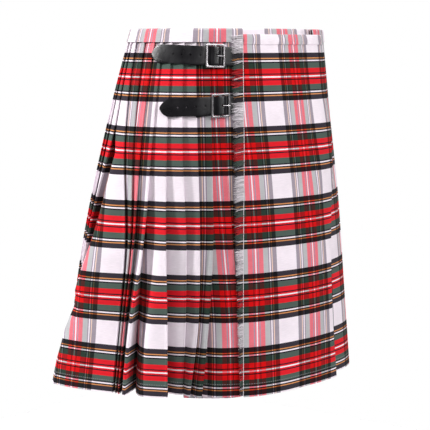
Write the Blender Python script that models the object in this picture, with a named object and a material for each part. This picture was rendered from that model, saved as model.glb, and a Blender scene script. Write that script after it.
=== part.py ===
"""Scottish kilt in tartan cloth, worn form, built as closed solids.

Every piece of cloth is a thin wall.  Its middle line is drawn in the pair
(s, n): s is the arc along the body's round section, from the centre front
towards the wearer's right, and n is the distance outside that section.
`spot` turns an angle round the body, a height and n into a point.

Metres, +Z up.  The wearer faces -Y.  Origin: middle of the waist, level with
the top edge of the waistband.
"""

import bpy
import bmesh
import numpy as np

# ------------------------------------------------------------- the figure
# Radii of the body's section at three heights, every 45 degrees from front.
ANGLES = np.radians([0, 45, 90, 135, 180])
#            height   front  quarter  side   back quarter  back
WAIST_ROUND = (0.000, (0.145, 0.172, 0.194, 0.166, 0.147))
HIP_ROUND = (-0.200, (0.172, 0.191, 0.239, 0.215, 0.173))
HEM_ROUND = (-0.610, (0.196, 0.225, 0.257, 0.300, 0.246))

# ------------------------------------------------------------- the cut
DROP = 0.600                # waist to hem
BAND_HEIGHT = 0.022         # waistband of the pleats and under-apron
APRON_TOP = -0.0095         # the over-apron sits a little lower
APRON_BAND_BOTTOM = -0.026
BAND_WALL = 0.001
BAND_GAP = 0.0003
CLOTH = 0.0012              # wall of the aprons
PLEAT_CLOTH = 0.0011        # wall of the pleats
FOLD = 0.0008               # radius of a pressed fold's middle line
SEAM = 0.0003

# Heights at which the cloth is drawn.  The pleats are stitched to the fell.
ROWS = (-0.0015, -0.095, -0.190, -0.270, -0.370, -0.480, -DROP)

# Edges of the over-apron as a fraction of the way round, by height.
EDGE_HEIGHTS = (0.0, -0.095, -0.20, -0.30, -0.40, -0.50, -0.61)
FRINGED_EDGE = (0.1138, 0.1097, 0.1065, 0.1060, 0.1060, 0.1060, 0.1062)
FOLDED_EDGE = (-0.0810, -0.0800, -0.0700, -0.0490, -0.0345, -0.0310, -0.0358)

# Columns of the under-apron and waistband: past the folded edge, and round
# from the fringed edge to the end of the pleats.
FAR_COLUMNS = np.linspace(-0.070, 0.020, 8)
HIP_COLUMNS = np.linspace(0.1080, 0.9385, 66)

# Pleat fold edges, as a fraction of the way round.  At the hem: the depth
# behind each face (mm), how far its edge stands proud (mm), the share of the
# face that stays flat, and how far the fold behind it gapes (mm).  The pressed
# pleats hang unevenly.
TABLE_HEIGHTS = (0.0, -0.19, -0.34, -0.48, -0.61)
#         waist   fell    mid     low     hem   depth proud flat open
FOLDS = ((0.1230, 0.1130, 0.1070, 0.1030, 0.1000, 16, 0, 0.3, 0),
         (0.1465, 0.1300, 0.1190, 0.1110, 0.1100, 16, 0, 0.5, 0),
         (0.1660, 0.1490, 0.1418, 0.1438, 0.1500, 14, 0, 0.3, 0),
         (0.1860, 0.1670, 0.1569, 0.1550, 0.1630, 10, -6, 0.3, 0),
         (0.2035, 0.1860, 0.1727, 0.1690, 0.1715, 34, -14, 0.5, 0),
         (0.2225, 0.2060, 0.1955, 0.1872, 0.1834, 44, 12, 0.62, 9),
         (0.2380, 0.2260, 0.2208, 0.2250, 0.2275, 18, 12, 0.3, 0),
         (0.2530, 0.2415, 0.2335, 0.2340, 0.2365, 16, 8, 0.3, 0),
         (0.2760, 0.2535, 0.2385, 0.2381, 0.2406, 16, 6, 0.3, 0),
         (0.3020, 0.2690, 0.2460, 0.2424, 0.2450, 36, 6, 0.72, 0),
         (0.3220, 0.2960, 0.3055, 0.3280, 0.3500, 24, -8, 0.3, 0),
         (0.3420, 0.3180, 0.3270, 0.3470, 0.3680, 18, -6, 0.3, 0))
LAST_FOLD = (0.9050, 0.9080, 0.9020, 0.8980, 0.8980, 18, 0, 0.3, 0)
WIDE_FACE = 0.045           # a face narrower than this falls early
KNEE_SHARE = 0.36           # the least share of a face before its knee
CORNER_FACE = 9             # this wide face makes the hem's corner
CORNER_BULGE = 0.020        # at the hem
CORNER_SHARE = 0.62         # where along the face
CORNER_SLOT = 0.012         # extra depth behind it, half-way down
CORNER_FLAT = 0.45          # and the flat share of the face there
CORNER_SWELL = 0.006        # how far the face swells there
SWELL_END = 0.80            # the share of the face where the swell dies out
CORNER_SHARES = (0.40, CORNER_SHARE, 0.86)     # its points, along the face
FIRST_FACE = 0.62           # how far the first face reaches towards its edge
TAIL_END = 0.012            # past the over-apron's folded edge
TAIL_N = -0.0047            # at the waist; it sinks towards the hem
TAIL_SINK = 0.020
EVEN_FOLDS = 29             # from the last of the table to LAST_FOLD
FIRST_DEPTH = (4.5, 5.0, 11.0, 16.0, 20.0)     # mm, at TABLE_HEIGHTS
HIDDEN = (0.60, 0.55, 0.40, 0.30, 0.30)        # hidden part of each reveal

# ------------------------------------------------------------- the leather
STRAP_WIDTH = 0.030
STRAP_WALL = 0.0020
#          name   buckle height   tip, root and buckle (arcs)   rise per arc
STRAPS = (("upper", -0.0440, 0.2850, 0.1170, 0.1750, 0.04),
          ("lower", -0.1245, 0.2750, 0.1200, 0.1745, -0.04))
TIP_LENGTH = 0.016
HOLE_SPACING = 0.0150
HOLE_RADIUS = 0.0014
BUCKLE_BAR = 0.0030
BUCKLE_HALF = 0.0140        # centre bar to a side bar
BUCKLE_WIRE = 0.0022

# ------------------------------------------------------------- the fringe
STRANDS = 140
STRAND_THICK = 0.0009
STRAND_DROOP = 0.35
#                length of the strands down the edge
FRINGE_HEIGHTS = (0.0, -0.25, -0.42, -0.52, -0.60)
FRINGE_LENGTHS = (0.020, 0.018, 0.012, 0.009, 0.007)


# ============================================================== the section
def curve_weights(z):
    """Shares of waist, hip and hem in a curve through the three."""
    hip = HIP_ROUND[0] / HEM_ROUND[0]
    t = np.asarray(z, float) / HEM_ROUND[0]
    return np.stack([(t - hip) * (t - 1) / hip,
                     t * (t - 1) / (hip * (hip - 1)),
                     t * (t - hip) / (1 - hip)], -1)


def section_weights(z):
    """The same, straight from row to row, so that every layer fits."""
    at_rows = curve_weights(ROWS)
    return np.stack([np.interp(-np.asarray(z), -np.array(ROWS), at_rows[:, k])
                     for k in range(3)], -1)


ORDERS = np.arange(len(ANGLES))
WAVES = np.linalg.solve(
    np.cos(np.outer(ANGLES, ORDERS)),
    np.array([WAIST_ROUND[1], HIP_ROUND[1], HEM_ROUND[1]]).T).T


def spot(phi, z, n):
    """Point at angle phi from the front, height z, n outside the section."""
    phi, z, n = np.broadcast_arrays(phi, z, n)
    waves = section_weights(z) @ WAVES
    turns = phi[..., None] * ORDERS
    r = (waves * np.cos(turns)).sum(-1)
    dr = (-waves * ORDERS * np.sin(turns)).sum(-1)
    sin, cos = np.sin(phi), np.cos(phi)
    tx = -dr * sin - r * cos
    ty = -dr * cos + r * sin
    size = np.hypot(tx, ty)
    return np.stack([-r * sin - n * ty / size, -r * cos + n * tx / size, z], -1)


FINE = np.linspace(0, 2 * np.pi, 1441)
ARCS = {}


def arc_table(z):
    """Arc length from the front at each fine angle, at height z."""
    key = round(float(z), 6)
    if key not in ARCS:
        points = spot(FINE, z, 0.0)
        steps = np.linalg.norm(np.diff(points, axis=0), axis=1)
        ARCS[key] = np.concatenate([[0], np.cumsum(steps)])
    return ARCS[key]


def girth(z):
    return arc_table(z)[-1]


def angle_at(z, s):
    """Angle round the body of an arc length s at height z."""
    table = arc_table(z)
    turns = np.floor(np.asarray(s) / table[-1])
    return np.interp(s - turns * table[-1], table, FINE) + turns * 2 * np.pi


def ease(x, start, end):
    t = np.clip((np.asarray(x, float) - start) / (end - start), 0, 1)
    return t * t * (3 - 2 * t)


def by_height(z, heights, values):
    return np.interp(-z, -np.array(heights), values)


# ============================================================== layers
# n of the middle of each layer, in mm.  q is the fraction of the way round.
def near_fringe(z, q):
    """0 in front, 1 over the start of the pleats."""
    return ease(q - by_height(z, EDGE_HEIGHTS, FRINGED_EDGE), -0.044, -0.014)


def near_fold(z, q):
    """0 in front, 1 under the over-apron's folded edge."""
    return ease(by_height(z, EDGE_HEIGHTS, FOLDED_EDGE) - q, -0.065, -0.035)


def over_apron_n(z, q):
    hip = 3.0 * (ease(-z, 0.095, 0.16) - ease(-z, 0.22, 0.34))
    return (-0.6 + 2.8 * near_fringe(z, q) + (2.6 + hip) * near_fold(z, q)) / 1000


def under_apron_n(z, q):
    front = 4.8 + 8.0 * ease(-z, 0.10, 0.60)
    right = 5.4 + pleat_depth(z) - front
    left = max(14.2, 7.4 + pleat_depth(z)) - front
    return -(front + right * near_fringe(z, q) + left * near_fold(z, q)) / 1000


def pleat_depth(z):
    """Greatest depth of the folds at height z, in mm."""
    base = by_height(z, TABLE_HEIGHTS, FIRST_DEPTH)
    return base * (1 + 0.2 * ease(-z, 0.19, 0.60))


def tip_centre(z, q):
    """n of the centre of a pleat's outer fold."""
    side = 4.5 * ease(-z, 0.12, 0.30) * ease(q, 0.80, 0.88)
    return (-2.85 - 1.8 * ease(q, 0.87, 0.90) + side) / 1000


# ============================================================== solids
def offset_line(path, distance):
    """Line parallel to an open line in (s, n), on its outer side."""
    step = np.diff(path, axis=0)
    step /= np.linalg.norm(step, axis=1, keepdims=True)
    normal = np.stack([-step[:, 1], step[:, 0]], 1)
    before = np.vstack([normal[:1], normal])
    after = np.vstack([normal, normal[-1:]])
    mitre = (before + after) / (1 + (before * after).sum(1, keepdims=True))
    return path + distance * mitre


def material(name, colour, roughness, metallic=0.0):
    mat = bpy.data.materials.new(name)
    mat.diffuse_color = (*colour, 1)
    mat.use_nodes = True
    shader = mat.node_tree.nodes["Principled BSDF"]
    shader.inputs["Base Color"].default_value = (*colour, 1)
    shader.inputs["Roughness"].default_value = roughness
    shader.inputs["Metallic"].default_value = metallic
    return mat


def mesh_object(name, points, faces, mat):
    mesh = bpy.data.meshes.new(name)
    mesh.from_pydata([tuple(p) for p in points], [], faces)
    mesh.materials.append(mat)
    bm = bmesh.new()
    bm.from_mesh(mesh)
    bmesh.ops.recalc_face_normals(bm, faces=bm.faces)
    bm.to_mesh(mesh)
    bm.free()
    obj = bpy.data.objects.new(name, mesh)
    bpy.context.collection.objects.link(obj)
    return obj


def wall(name, outer, inner, mat):
    """Closed sheet between two grids of points, [row][column]."""
    rows, cols = outer.shape[:2]
    a = np.arange(rows * cols).reshape(rows, cols)
    b = a + rows * cols
    faces = []
    for r in range(rows - 1):
        for c in range(cols - 1):
            faces.append((a[r, c], a[r, c + 1], a[r + 1, c + 1], a[r + 1, c]))
            faces.append((b[r, c], b[r + 1, c], b[r + 1, c + 1], b[r, c + 1]))
    for c in range(cols - 1):
        faces.append((a[0, c], b[0, c], b[0, c + 1], a[0, c + 1]))
        faces.append((a[-1, c], a[-1, c + 1], b[-1, c + 1], b[-1, c]))
    for r in range(rows - 1):
        faces.append((a[r, 0], a[r + 1, 0], b[r + 1, 0], b[r, 0]))
        faces.append((a[r, -1], b[r, -1], b[r + 1, -1], a[r + 1, -1]))
    points = np.vstack([outer.reshape(-1, 3), inner.reshape(-1, 3)])
    return mesh_object(name, points, [tuple(int(i) for i in f) for f in faces], mat)


def cloth(name, path_at, rows, thickness, mat, height=None):
    """Sheet from its middle line at each height; height() may bend a row."""
    sides = []
    for half in (thickness / 2, -thickness / 2):
        grid = []
        for z in rows:
            line = offset_line(path_at(z), half)
            real = z if height is None else height(z, line[:, 0] / girth(z))
            grid.append(spot(angle_at(z, line[:, 0]), real, line[:, 1]))
        sides.append(np.array(grid))
    return wall(name, sides[0], sides[1], mat)


# ============================================================== pleats
def fold_places(z):
    """Arc of every fold edge at height z, with its depth, proud, flat and gape."""
    table = [by_height(z, TABLE_HEIGHTS, row[:5]) for row in FOLDS]
    last = by_height(z, TABLE_HEIGHTS, LAST_FOLD[:5])
    table += list(np.linspace(table[-1], last, EVEN_FOLDS + 1)[1:])
    rows = list(FOLDS) + [LAST_FOLD] * EVEN_FOLDS
    hem_depth, proud, flat, gape = np.array([row[5:] for row in rows]).T
    base = by_height(z, TABLE_HEIGHTS, FIRST_DEPTH)
    low = ease(-z, 0.19, 0.60)
    depth = base * (1 + low * (hem_depth / FIRST_DEPTH[-1] - 1))
    depth, flat = depth / 1000, flat * ease(-z, 0.25, 0.60)
    depth[CORNER_FACE] += CORNER_SLOT * slot_share(z)
    flat[CORNER_FACE] = max(flat[CORNER_FACE], CORNER_FLAT * slot_share(z))
    open_share = ease(-z, 0.30, 0.52) * (gape > 0)
    return (np.array(table) * girth(z), depth, proud * ease(-z, 0.25, 0.60) / 1000,
            flat, open_share, gape / 1000)


def fold_turn(centre, heading, radius, side):
    """Three points round a fold, entered along `heading`."""
    across = np.array([-heading[1], heading[0]]) * side
    return [centre - across * radius, centre + heading * radius,
            centre + across * radius]


def unit(v):
    return v / np.linalg.norm(v)


def slot_share(z):
    """1 where the corner face hides a deep slot, 0 at the fell and the hem."""
    return ease(-z, 0.19, 0.32) - ease(-z, 0.40, 0.54)


def face_points(z, leave, deep, flat, corner):
    """Points of a face, and how it heads into the fold behind it.

    It is flat by its edge and then falls; a narrow face falls straight.
    """
    wide = min((deep[0] - leave[0]) / WIDE_FACE, 1)
    flat *= wide
    power = 1 + 0.5 * wide * ease(-z, 0.25, 0.6)
    span = deep - leave
    heading = unit(np.array([span[0], span[1] * power / (1 - flat)]))
    span = deep - FOLD * np.array([-heading[1], heading[0]]) - leave
    knee = max(flat, KNEE_SHARE)
    shares = np.array([knee, (1 + knee) / 2])
    if corner:
        shares = np.array(CORNER_SHARES)
    falls = (np.maximum(shares - flat, 0) / (1 - flat)) ** power
    bulge = np.minimum((shares / CORNER_SHARE) ** 1.6,
                       (1 - shares) / (1 - CORNER_SHARE))
    out = corner * CORNER_BULGE * ease(-z, 0.40, 0.60) * bulge
    swell = np.sin(np.pi * np.minimum(shares / SWELL_END, 1))
    out += corner * CORNER_SWELL * slot_share(z) * swell
    return [leave + [span[0] * t, span[1] * f + g]
            for t, f, g in zip(shares, falls, out)], heading


def pleat_line(z):
    """Middle line of the pleated length: face, fold under, return, face."""
    tips, depth, proud, flat, open_share, gape = fold_places(z)
    reveal = np.diff(tips)
    hidden = by_height(z, TABLE_HEIGHTS, HIDDEN)
    top = np.array([[s, tip_centre(z, s / girth(z))] for s in tips])
    top[:, 1] += proud
    deep = [np.array([tips[0] + hidden * reveal[0], top[0, 1] - depth[0]])]
    for i in range(len(tips) - 1):
        nearest = min(reveal[i], reveal[min(i + 1, len(reveal) - 1)])
        under = hidden * nearest * (1 - open_share[i]) - gape[i] * open_share[i]
        deep.append(np.array([tips[i + 1] + under, top[i + 1, 1] - depth[i]]))
    begin = deep[0] + FIRST_FACE * (top[0] - [reveal[0], 0] - deep[0])
    line = [begin + [0, FOLD]]
    heading = unit(deep[0] - begin)
    for i, tip in enumerate(top):
        # inner fold, then back out to this tip, then along its face
        line += fold_turn(deep[i], heading, FOLD, 1)
        line += fold_turn(tip, unit(tip - deep[i]), FOLD, -1)
        if i + 1 < len(top):
            face, heading = face_points(z, line[-1], deep[i + 1], flat[i],
                                        i == CORNER_FACE)
            line += face
    # the last face runs on, smooth, to under the over-apron's folded edge
    end = (1 + TAIL_END + by_height(z, EDGE_HEIGHTS, FOLDED_EDGE)) * girth(z)
    tail = np.array([end, TAIL_N - TAIL_SINK * ease(-z, 0.28, 0.60)])
    leave = line[-1]
    line += [leave + (tail - leave) * t for t in (0.2, 0.4, 0.6, 0.8, 1.0)]
    return np.array(line)


# ============================================================== aprons
def front_columns(z):
    """Columns across the front, close where the layers step in or out."""
    right = by_height(z, EDGE_HEIGHTS, FRINGED_EDGE)
    left = by_height(z, EDGE_HEIGHTS, FOLDED_EDGE)
    step_out = left + np.linspace(0.035, 0.065, 6)
    step_in = right - np.linspace(0.044, 0.014, 6)
    middle = np.linspace(step_out[-1], step_in[0], 6)[1:-1]
    return left, np.concatenate([step_out, middle, step_in]), right


def over_apron_line(z):
    left, middle, right = front_columns(z)
    q = np.concatenate([[left, left + 0.012, left + 0.024], middle, [right]])
    q = q[::-1]
    front = np.stack([q * girth(z), over_apron_n(z, q)], 1)
    turn = front[-1] - [FOLD, FOLD]
    back = [front[-1] - [0, 2 * FOLD] + [s, 0] for s in (0, 0.014, 0.028)]
    return np.vstack([front, [turn], back])[::-1]


def under_apron_line(z):
    left, middle, _ = front_columns(z)
    q = np.concatenate([left + FAR_COLUMNS, middle, HIP_COLUMNS[:6]])
    return np.stack([q * girth(z), under_apron_n(z, q)], 1)


def over_apron_height(z, q):
    top = APRON_TOP - BAND_WALL - BAND_GAP
    if z == ROWS[0]:
        return np.full_like(q, top)
    return np.full_like(q, z)


def under_apron_height(z, q):
    """The inner apron hangs a little lower at the wearer's right."""
    if z == ROWS[-1]:
        return z - 0.009 * ease(q, 0.06, 0.12) + 0.003 * ease(-q, 0, 0.1)
    return np.full_like(q, z)


# ============================================================== waistband
def band(name, stations, outer_n, inner_n, top, bottom, mat):
    """Strip folded over the top edge: an upside-down channel."""
    half = BAND_WALL / 2
    rings = []
    for q in stations:
        o, i = outer_n(q), inner_n(q)
        profile = ((o + half, bottom), (o + half, top),
                   (i - half, top), (i - half, bottom),
                   (i + half, bottom), (i + half, top - BAND_WALL),
                   (o - half, top - BAND_WALL), (o - half, bottom))
        n, z = np.array(profile).T
        phi = angle_at(0.0, q * girth(0.0))
        rings.append(spot(np.full(8, phi), z, n))
    rings = np.array(rings)
    faces = []
    for k in range(len(rings) - 1):
        for j in range(8):
            a, b = 8 * k + j, 8 * k + (j + 1) % 8
            faces.append((a, b, b + 8, a + 8))
    for k in (0, 8 * (len(rings) - 1)):
        for quad in ((0, 1, 6, 7), (1, 2, 5, 6), (2, 3, 4, 5)):
            faces.append(tuple(k + j for j in quad))
    return mesh_object(name, rings.reshape(-1, 3), faces, mat)


def body_band_outer(q):
    over_pleats = -2.3 + 2.7 * near_fringe(0.0, q) - 1.8 * ease(q, 0.87, 0.90)
    return (over_pleats - 1.0 - 9.5 * near_fold(0.0, q)) / 1000


def body_band_inner(q):
    return (-6.3 - 5.1 * near_fringe(0.0, q)
            - 9.4 * near_fold(0.0, q)) / 1000


def apron_band_outer(q):
    return over_apron_n(0.0, q) + 0.0014


def apron_band_inner(q):
    under = ease(FOLDED_EDGE[0] + 0.045 - q, 0.0, 0.012)
    return over_apron_n(0.0, q) - 0.0014 - 0.0016 * under


# ============================================================== fringe
def fringe(mat):
    """Edge strands, fused at their roots into a narrow strip."""
    pitch = (DROP + APRON_TOP - 0.004) / STRANDS
    lines = []                       # two heights for each strand
    for k in range(STRANDS):
        z = APRON_TOP - 0.002 - pitch * k
        lines += [z - 0.25 * pitch, z - 0.75 * pitch]
    heights = np.array([APRON_TOP - 0.002] + lines + [-DROP + 0.002])
    edge = np.array([by_height(z, EDGE_HEIGHTS, FRINGED_EDGE) * girth(z)
                     for z in heights]) + SEAM
    near = over_apron_n(0.0, FRINGED_EDGE[0])
    half = STRAND_THICK / 2

    def corner(k, along, n):
        z = heights[k]
        return spot(angle_at(z, edge[k] + along), z, near + n)

    points, faces = [], []
    free, top = [], len(heights)
    for k in range(top):             # free side of the strip
        points += [corner(k, 0.0014, half), corner(k, 0.0014, -half)]
        free.append((2 * k, 2 * k + 1))
    stops = list(range(0, top, 20))
    stops = stops[:-1] + [top - 1] if top - 1 - stops[-1] < 10 else stops + [top - 1]
    cloth_side = []
    for k in stops:                  # cloth side, few points
        cloth_side.append((len(points), len(points) + 1))
        points += [corner(k, 0.0, half), corner(k, 0.0, -half)]
    for j in range(len(stops) - 1):
        (a0, b0), (a1, b1) = cloth_side[j], cloth_side[j + 1]
        faces.append((a0, a1, b1, b0))
        for k in range(stops[j], stops[j + 1]):
            faces.append((a0, free[k][0], free[k + 1][0]))
            faces.append((b0, free[k + 1][1], free[k][1]))
        faces.append((a0, free[stops[j + 1]][0], a1))
        faces.append((b0, b1, free[stops[j + 1]][1]))
    for k, (a, b) in ((0, cloth_side[0]), (top - 1, cloth_side[-1])):
        faces.append((a, b, free[k][1], free[k][0]))
    for k in range(top - 1):
        root = [free[k][0], free[k + 1][0], free[k + 1][1], free[k][1]]
        if k % 2 == 0:               # plain strip between two strands
            faces.append(tuple(root))
            continue
        z = 0.5 * (heights[k] + heights[k + 1])
        length = by_height(z, FRINGE_HEIGHTS, FRINGE_LENGTHS)
        length *= 1 + 0.12 * np.sin(2.4 * k)
        fall = STRAND_DROOP + 0.05 * np.sin(1.3 * k)
        tall = 0.5 * abs(heights[k] - heights[k + 1])
        s = 0.5 * (edge[k] + edge[k + 1]) + 0.0014
        for share, taper, lift in ((0.5, 0.85, 0.0003), (1.0, 0.55, -0.0004)):
            ring = []
            for up, out in ((1, 1), (-1, 1), (-1, -1), (1, -1)):
                z_end = z - fall * length * share ** 1.5 + up * tall * taper
                here = spot(angle_at(z, s + length * share), z_end,
                            near + lift + out * half * taper)
                ring.append(len(points))
                points.append(here)
            for j in range(4):
                m = (j + 1) % 4
                faces.append((root[j], root[m], ring[m], ring[j]))
            root = ring
        faces.append(tuple(root))
    return mesh_object("fringe", points, faces, mat)


# ============================================================== straps
def leather_spot(strap, s, rise, n):
    """Point of a strap's fittings: arc s, rise above its middle, n."""
    _, z_buckle, _, _, at, tilt = strap
    z = z_buckle + tilt * (s - at) + rise
    return spot(angle_at(z_buckle, s), z, n)


def leather(name, strap, path, widths, thickness, mat):
    """Strip along a (s, n) line; widths are (low, high) rises by column."""
    path = np.array(path)
    low, high = np.array(widths).T
    grids = []
    for half in (thickness / 2, -thickness / 2):
        line = offset_line(path, half)
        grids.append(np.array([
            leather_spot(strap, line[:, 0], rise, line[:, 1])
            for rise in (high, 0.5 * (low + high), low)]))
    return wall(name, grids[0], grids[1], mat)


def block(strap, s, rise, n):
    """Closed box between pairs of arcs, rises and n, used as a cutter."""
    corners = [leather_spot(strap, a, b, c) for a in s for b in rise for c in n]
    faces = [(0, 1, 3, 2), (4, 6, 7, 5), (0, 4, 5, 1),
             (2, 3, 7, 6), (0, 2, 6, 4), (1, 5, 7, 3)]
    return mesh_object("cutter", corners, faces, None)


def punch(strap, s):
    """Eight-sided cutter for a strap hole at arc s."""
    corners = []
    for n in (-0.004, 0.008):
        for k in range(8):
            turn = np.pi * (k + 0.5) / 4
            corners.append(leather_spot(strap, s + HOLE_RADIUS * np.cos(turn),
                                        HOLE_RADIUS * np.sin(turn), n))
    faces = [tuple(range(8)), tuple(range(15, 7, -1))]
    faces += [(k, k + 8, (k + 1) % 8 + 8, (k + 1) % 8) for k in range(8)]
    return mesh_object("cutter", corners, faces, None)


def cut(obj, cutter):
    cutter.hide_render = True
    change = obj.modifiers.new("cut", "BOOLEAN")
    change.operation = "DIFFERENCE"
    change.solver = "EXACT"
    change.object = cutter
    bpy.context.view_layer.objects.active = obj
    bpy.ops.object.modifier_apply(modifier=change.name)
    bpy.data.objects.remove(cutter)


def strap_line(strap):
    """Middle line from the root, through the buckle, to the tip."""
    _, _, tip, root, at, _ = strap
    shape = [(root, -0.2), (at - 0.034, -0.2), (at - 0.0115, -0.2),
             (at - 0.0085, 0.7), (at - 0.0042, 4.4), (at, 5.0),
             (at + 0.0042, 4.5), (at + 0.0085, 2.0), (at + 0.0110, 1.1),
             (at + 0.0220, 1.1), (at + 0.0390, 1.1), (at + 0.0470, -0.2)]
    shape += [(at + 0.047 + t * (tip - TIP_LENGTH - at - 0.047), -0.2)
              for t in (0.33, 0.67, 1.0)]
    shape += [(tip - TIP_LENGTH * (1 - t), -0.2) for t in (0.5, 0.8, 0.95, 1.0)]
    return np.array([(s, n / 1000) for s, n in shape])


def build_strap(strap, mats):
    name, _, tip, root, at, _ = strap
    line = strap_line(strap)
    left = np.clip((tip - line[:, 0]) / TIP_LENGTH, 0, 1)
    half = STRAP_WIDTH / 2 * np.clip(left * (2 - left), 0, 1) ** 0.6
    half = np.maximum(half, 0.0022)
    body = leather("strap_" + name, strap, line, np.stack([-half, half], 1),
                   STRAP_WALL, mats["leather"])
    cut(body, block(strap, (at - 0.0046, at - 0.0008), (-0.0016, 0.0016),
                    (-0.004, 0.009)))
    for k in range(4):
        cut(body, punch(strap, at + 0.0250 + HOLE_SPACING * k))

    # chape: from the pleats, round the centre bar
    tail = [(at + d, -0.7) for d in (0.0400, 0.0280, 0.0160, 0.0040)]
    loop = [(at - 0.0017, -0.7), (at - 0.0024, -0.2), (at - 0.0024, 2.6),
            (at - 0.0017, 3.1), (at + 0.0024, 3.1)]
    line = np.array([(s, n / 1000) for s, n in tail + loop])
    drop = np.interp(line[:, 0], (at, at + 0.040), (-0.0020, -0.0055))
    tab = leather("chape_" + name, strap, line,
                  np.stack([drop - 0.012, drop + 0.012], 1), 0.0010,
                  mats["leather"])
    cut(tab, block(strap, (at - 0.0050, at + 0.0038), (-0.0017, 0.0017),
                   (-0.003, 0.005)))

    # prong: coiled round the centre bar, through the strap, on the right bar
    line = np.array([(at + d / 1000, n / 1000) for d, n in (
        (2.2, 2.9), (2.2, -0.6), (-2.2, -0.6), (-2.2, 2.8), (-2.7, 6.2),
        (-3.9, 6.9), (-9.0, 5.6), (-16.2, 4.6))])
    width = np.array([1, 1, 1, 1, 1, 1, 0.9, 0.6]) * 0.0010
    leather("prong_" + name, strap, line, np.stack([-width, width], 1),
            0.0009, mats["buckle"])
    frame("buckle_" + name, strap, mats["buckle"])


def frame(name, strap, mat):
    """Buckle frame: left, centre and right bars between two rails."""
    at = strap[4]
    half = BUCKLE_BAR / 2
    columns = []                     # arc and n of each edge line
    for centre, n in ((BUCKLE_HALF, 3.6), (0.0, 1.2), (-BUCKLE_HALF, 2.3)):
        columns += [(at + centre + half, n), (at + centre - half, n)]
    inner = STRAP_WIDTH / 2 + 0.0009
    rises = (inner + BUCKLE_BAR, inner, -inner, -inner - BUCKLE_BAR)
    points, index = [], {}
    for c, (s, n) in enumerate(columns):
        for r, rise in enumerate(rises):
            corner = 0.0 if c in (1, 2, 3, 4) or r in (1, 2) else 0.0012
            for k, side in enumerate((1, -1)):
                index[c, r, k] = len(points)
                shift = corner * (1 if r == 3 else -1)
                points.append(leather_spot(
                    strap, s, rise + shift,
                    n / 1000 + side * BUCKLE_WIRE / 2))
    solid = {(c, r) for c in range(5) for r in range(3)
             if r != 1 or c in (0, 2, 4)}
    faces = []
    for c, r in solid:
        faces.append(tuple(index[c + a, r + b, 0]
                           for a, b in ((0, 0), (1, 0), (1, 1), (0, 1))))
        faces.append(tuple(index[c + a, r + b, 1]
                           for a, b in ((0, 0), (0, 1), (1, 1), (1, 0))))
        for step, ends in (((-1, 0), ((0, 0), (0, 1))), ((1, 0), ((1, 0), (1, 1))),
                           ((0, -1), ((0, 0), (1, 0))), ((0, 1), ((0, 1), (1, 1)))):
            if (c + step[0], r + step[1]) in solid:
                continue
            (a, b), (d, e) = ends
            faces.append((index[c + a, r + b, 0], index[c + d, r + e, 0],
                          index[c + d, r + e, 1], index[c + a, r + b, 1]))
    mesh_object(name, points, faces, mat)


# ============================================================== the kilt
def main():
    for obj in list(bpy.data.objects):
        bpy.data.objects.remove(obj)

    mats = {
        "pleats": material("tartan_pleats", (0.62, 0.09, 0.09), 0.85),
        "over": material("tartan_over_apron", (0.80, 0.72, 0.78), 0.85),
        "under": material("tartan_under_apron", (0.10, 0.14, 0.11), 0.85),
        "band": material("tartan_band", (0.35, 0.40, 0.37), 0.85),
        "apron_band": material("tartan_apron_band", (0.55, 0.20, 0.22), 0.85),
        "fringe": material("tartan_fringe", (0.45, 0.38, 0.42), 0.9),
        "leather": material("black_leather", (0.03, 0.03, 0.033), 0.45),
        "buckle": material("nickel_steel", (0.40, 0.40, 0.43), 0.25, 1.0),
    }

    cloth("pleats", pleat_line, ROWS, PLEAT_CLOTH, mats["pleats"])
    cloth("over_apron", over_apron_line, ROWS, CLOTH, mats["over"],
          over_apron_height)
    cloth("under_apron", under_apron_line, ROWS, CLOTH, mats["under"],
          under_apron_height)

    left, middle, right = front_columns(0.0)
    around = np.concatenate([left + FAR_COLUMNS, middle, HIP_COLUMNS])
    around[0] -= 0.002
    band("waistband", around, body_band_outer, body_band_inner,
         0.0, -BAND_HEIGHT, mats["band"])
    across = np.concatenate([[left - 0.0022, left + 0.015, left + 0.026],
                             middle, [right]])
    band("apron_waistband", across, apron_band_outer, apron_band_inner,
         APRON_TOP, APRON_BAND_BOTTOM, mats["apron_band"])

    fringe(mats["fringe"])
    for strap in STRAPS:
        build_strap(strap, mats)


if __name__ == "__main__":
    main()
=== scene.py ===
"""Scottish kilt: twill tartan, knife pleats, fringed apron, hip straps.

Cloth is drawn in the pair (s, n): s is the arc along the body's round section
from the centre front towards the wearer's right, n the distance outside it.
Metres, +Z up, the wearer faces -Y, origin at the middle of the waist.
"""
import math

import bpy
import numpy as np
from bpy.props import FloatProperty, FloatVectorProperty, IntProperty
from bpy.props import PointerProperty
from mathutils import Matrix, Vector


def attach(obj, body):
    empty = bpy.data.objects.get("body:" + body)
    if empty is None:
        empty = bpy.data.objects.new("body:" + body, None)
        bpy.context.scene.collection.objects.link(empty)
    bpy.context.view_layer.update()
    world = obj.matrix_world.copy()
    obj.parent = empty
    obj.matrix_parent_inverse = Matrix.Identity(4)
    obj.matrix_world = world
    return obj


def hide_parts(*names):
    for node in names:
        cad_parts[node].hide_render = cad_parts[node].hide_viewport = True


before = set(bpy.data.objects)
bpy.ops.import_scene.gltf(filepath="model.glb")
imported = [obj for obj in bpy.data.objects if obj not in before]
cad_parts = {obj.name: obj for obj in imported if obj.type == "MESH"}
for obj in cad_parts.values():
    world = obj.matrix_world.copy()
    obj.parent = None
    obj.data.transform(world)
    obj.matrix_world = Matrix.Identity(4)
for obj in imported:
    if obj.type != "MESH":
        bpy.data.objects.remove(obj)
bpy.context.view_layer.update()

bl_info = {
    "name": "Scottish kilt",
    "version": (1, 0, 0),
    "blender": (4, 5, 0),
    "location": "3D View > Sidebar > Kilt",
    "description": "Dresses the kilt's frame in tartan, leather and steel",
    "category": "Object",
}

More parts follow.
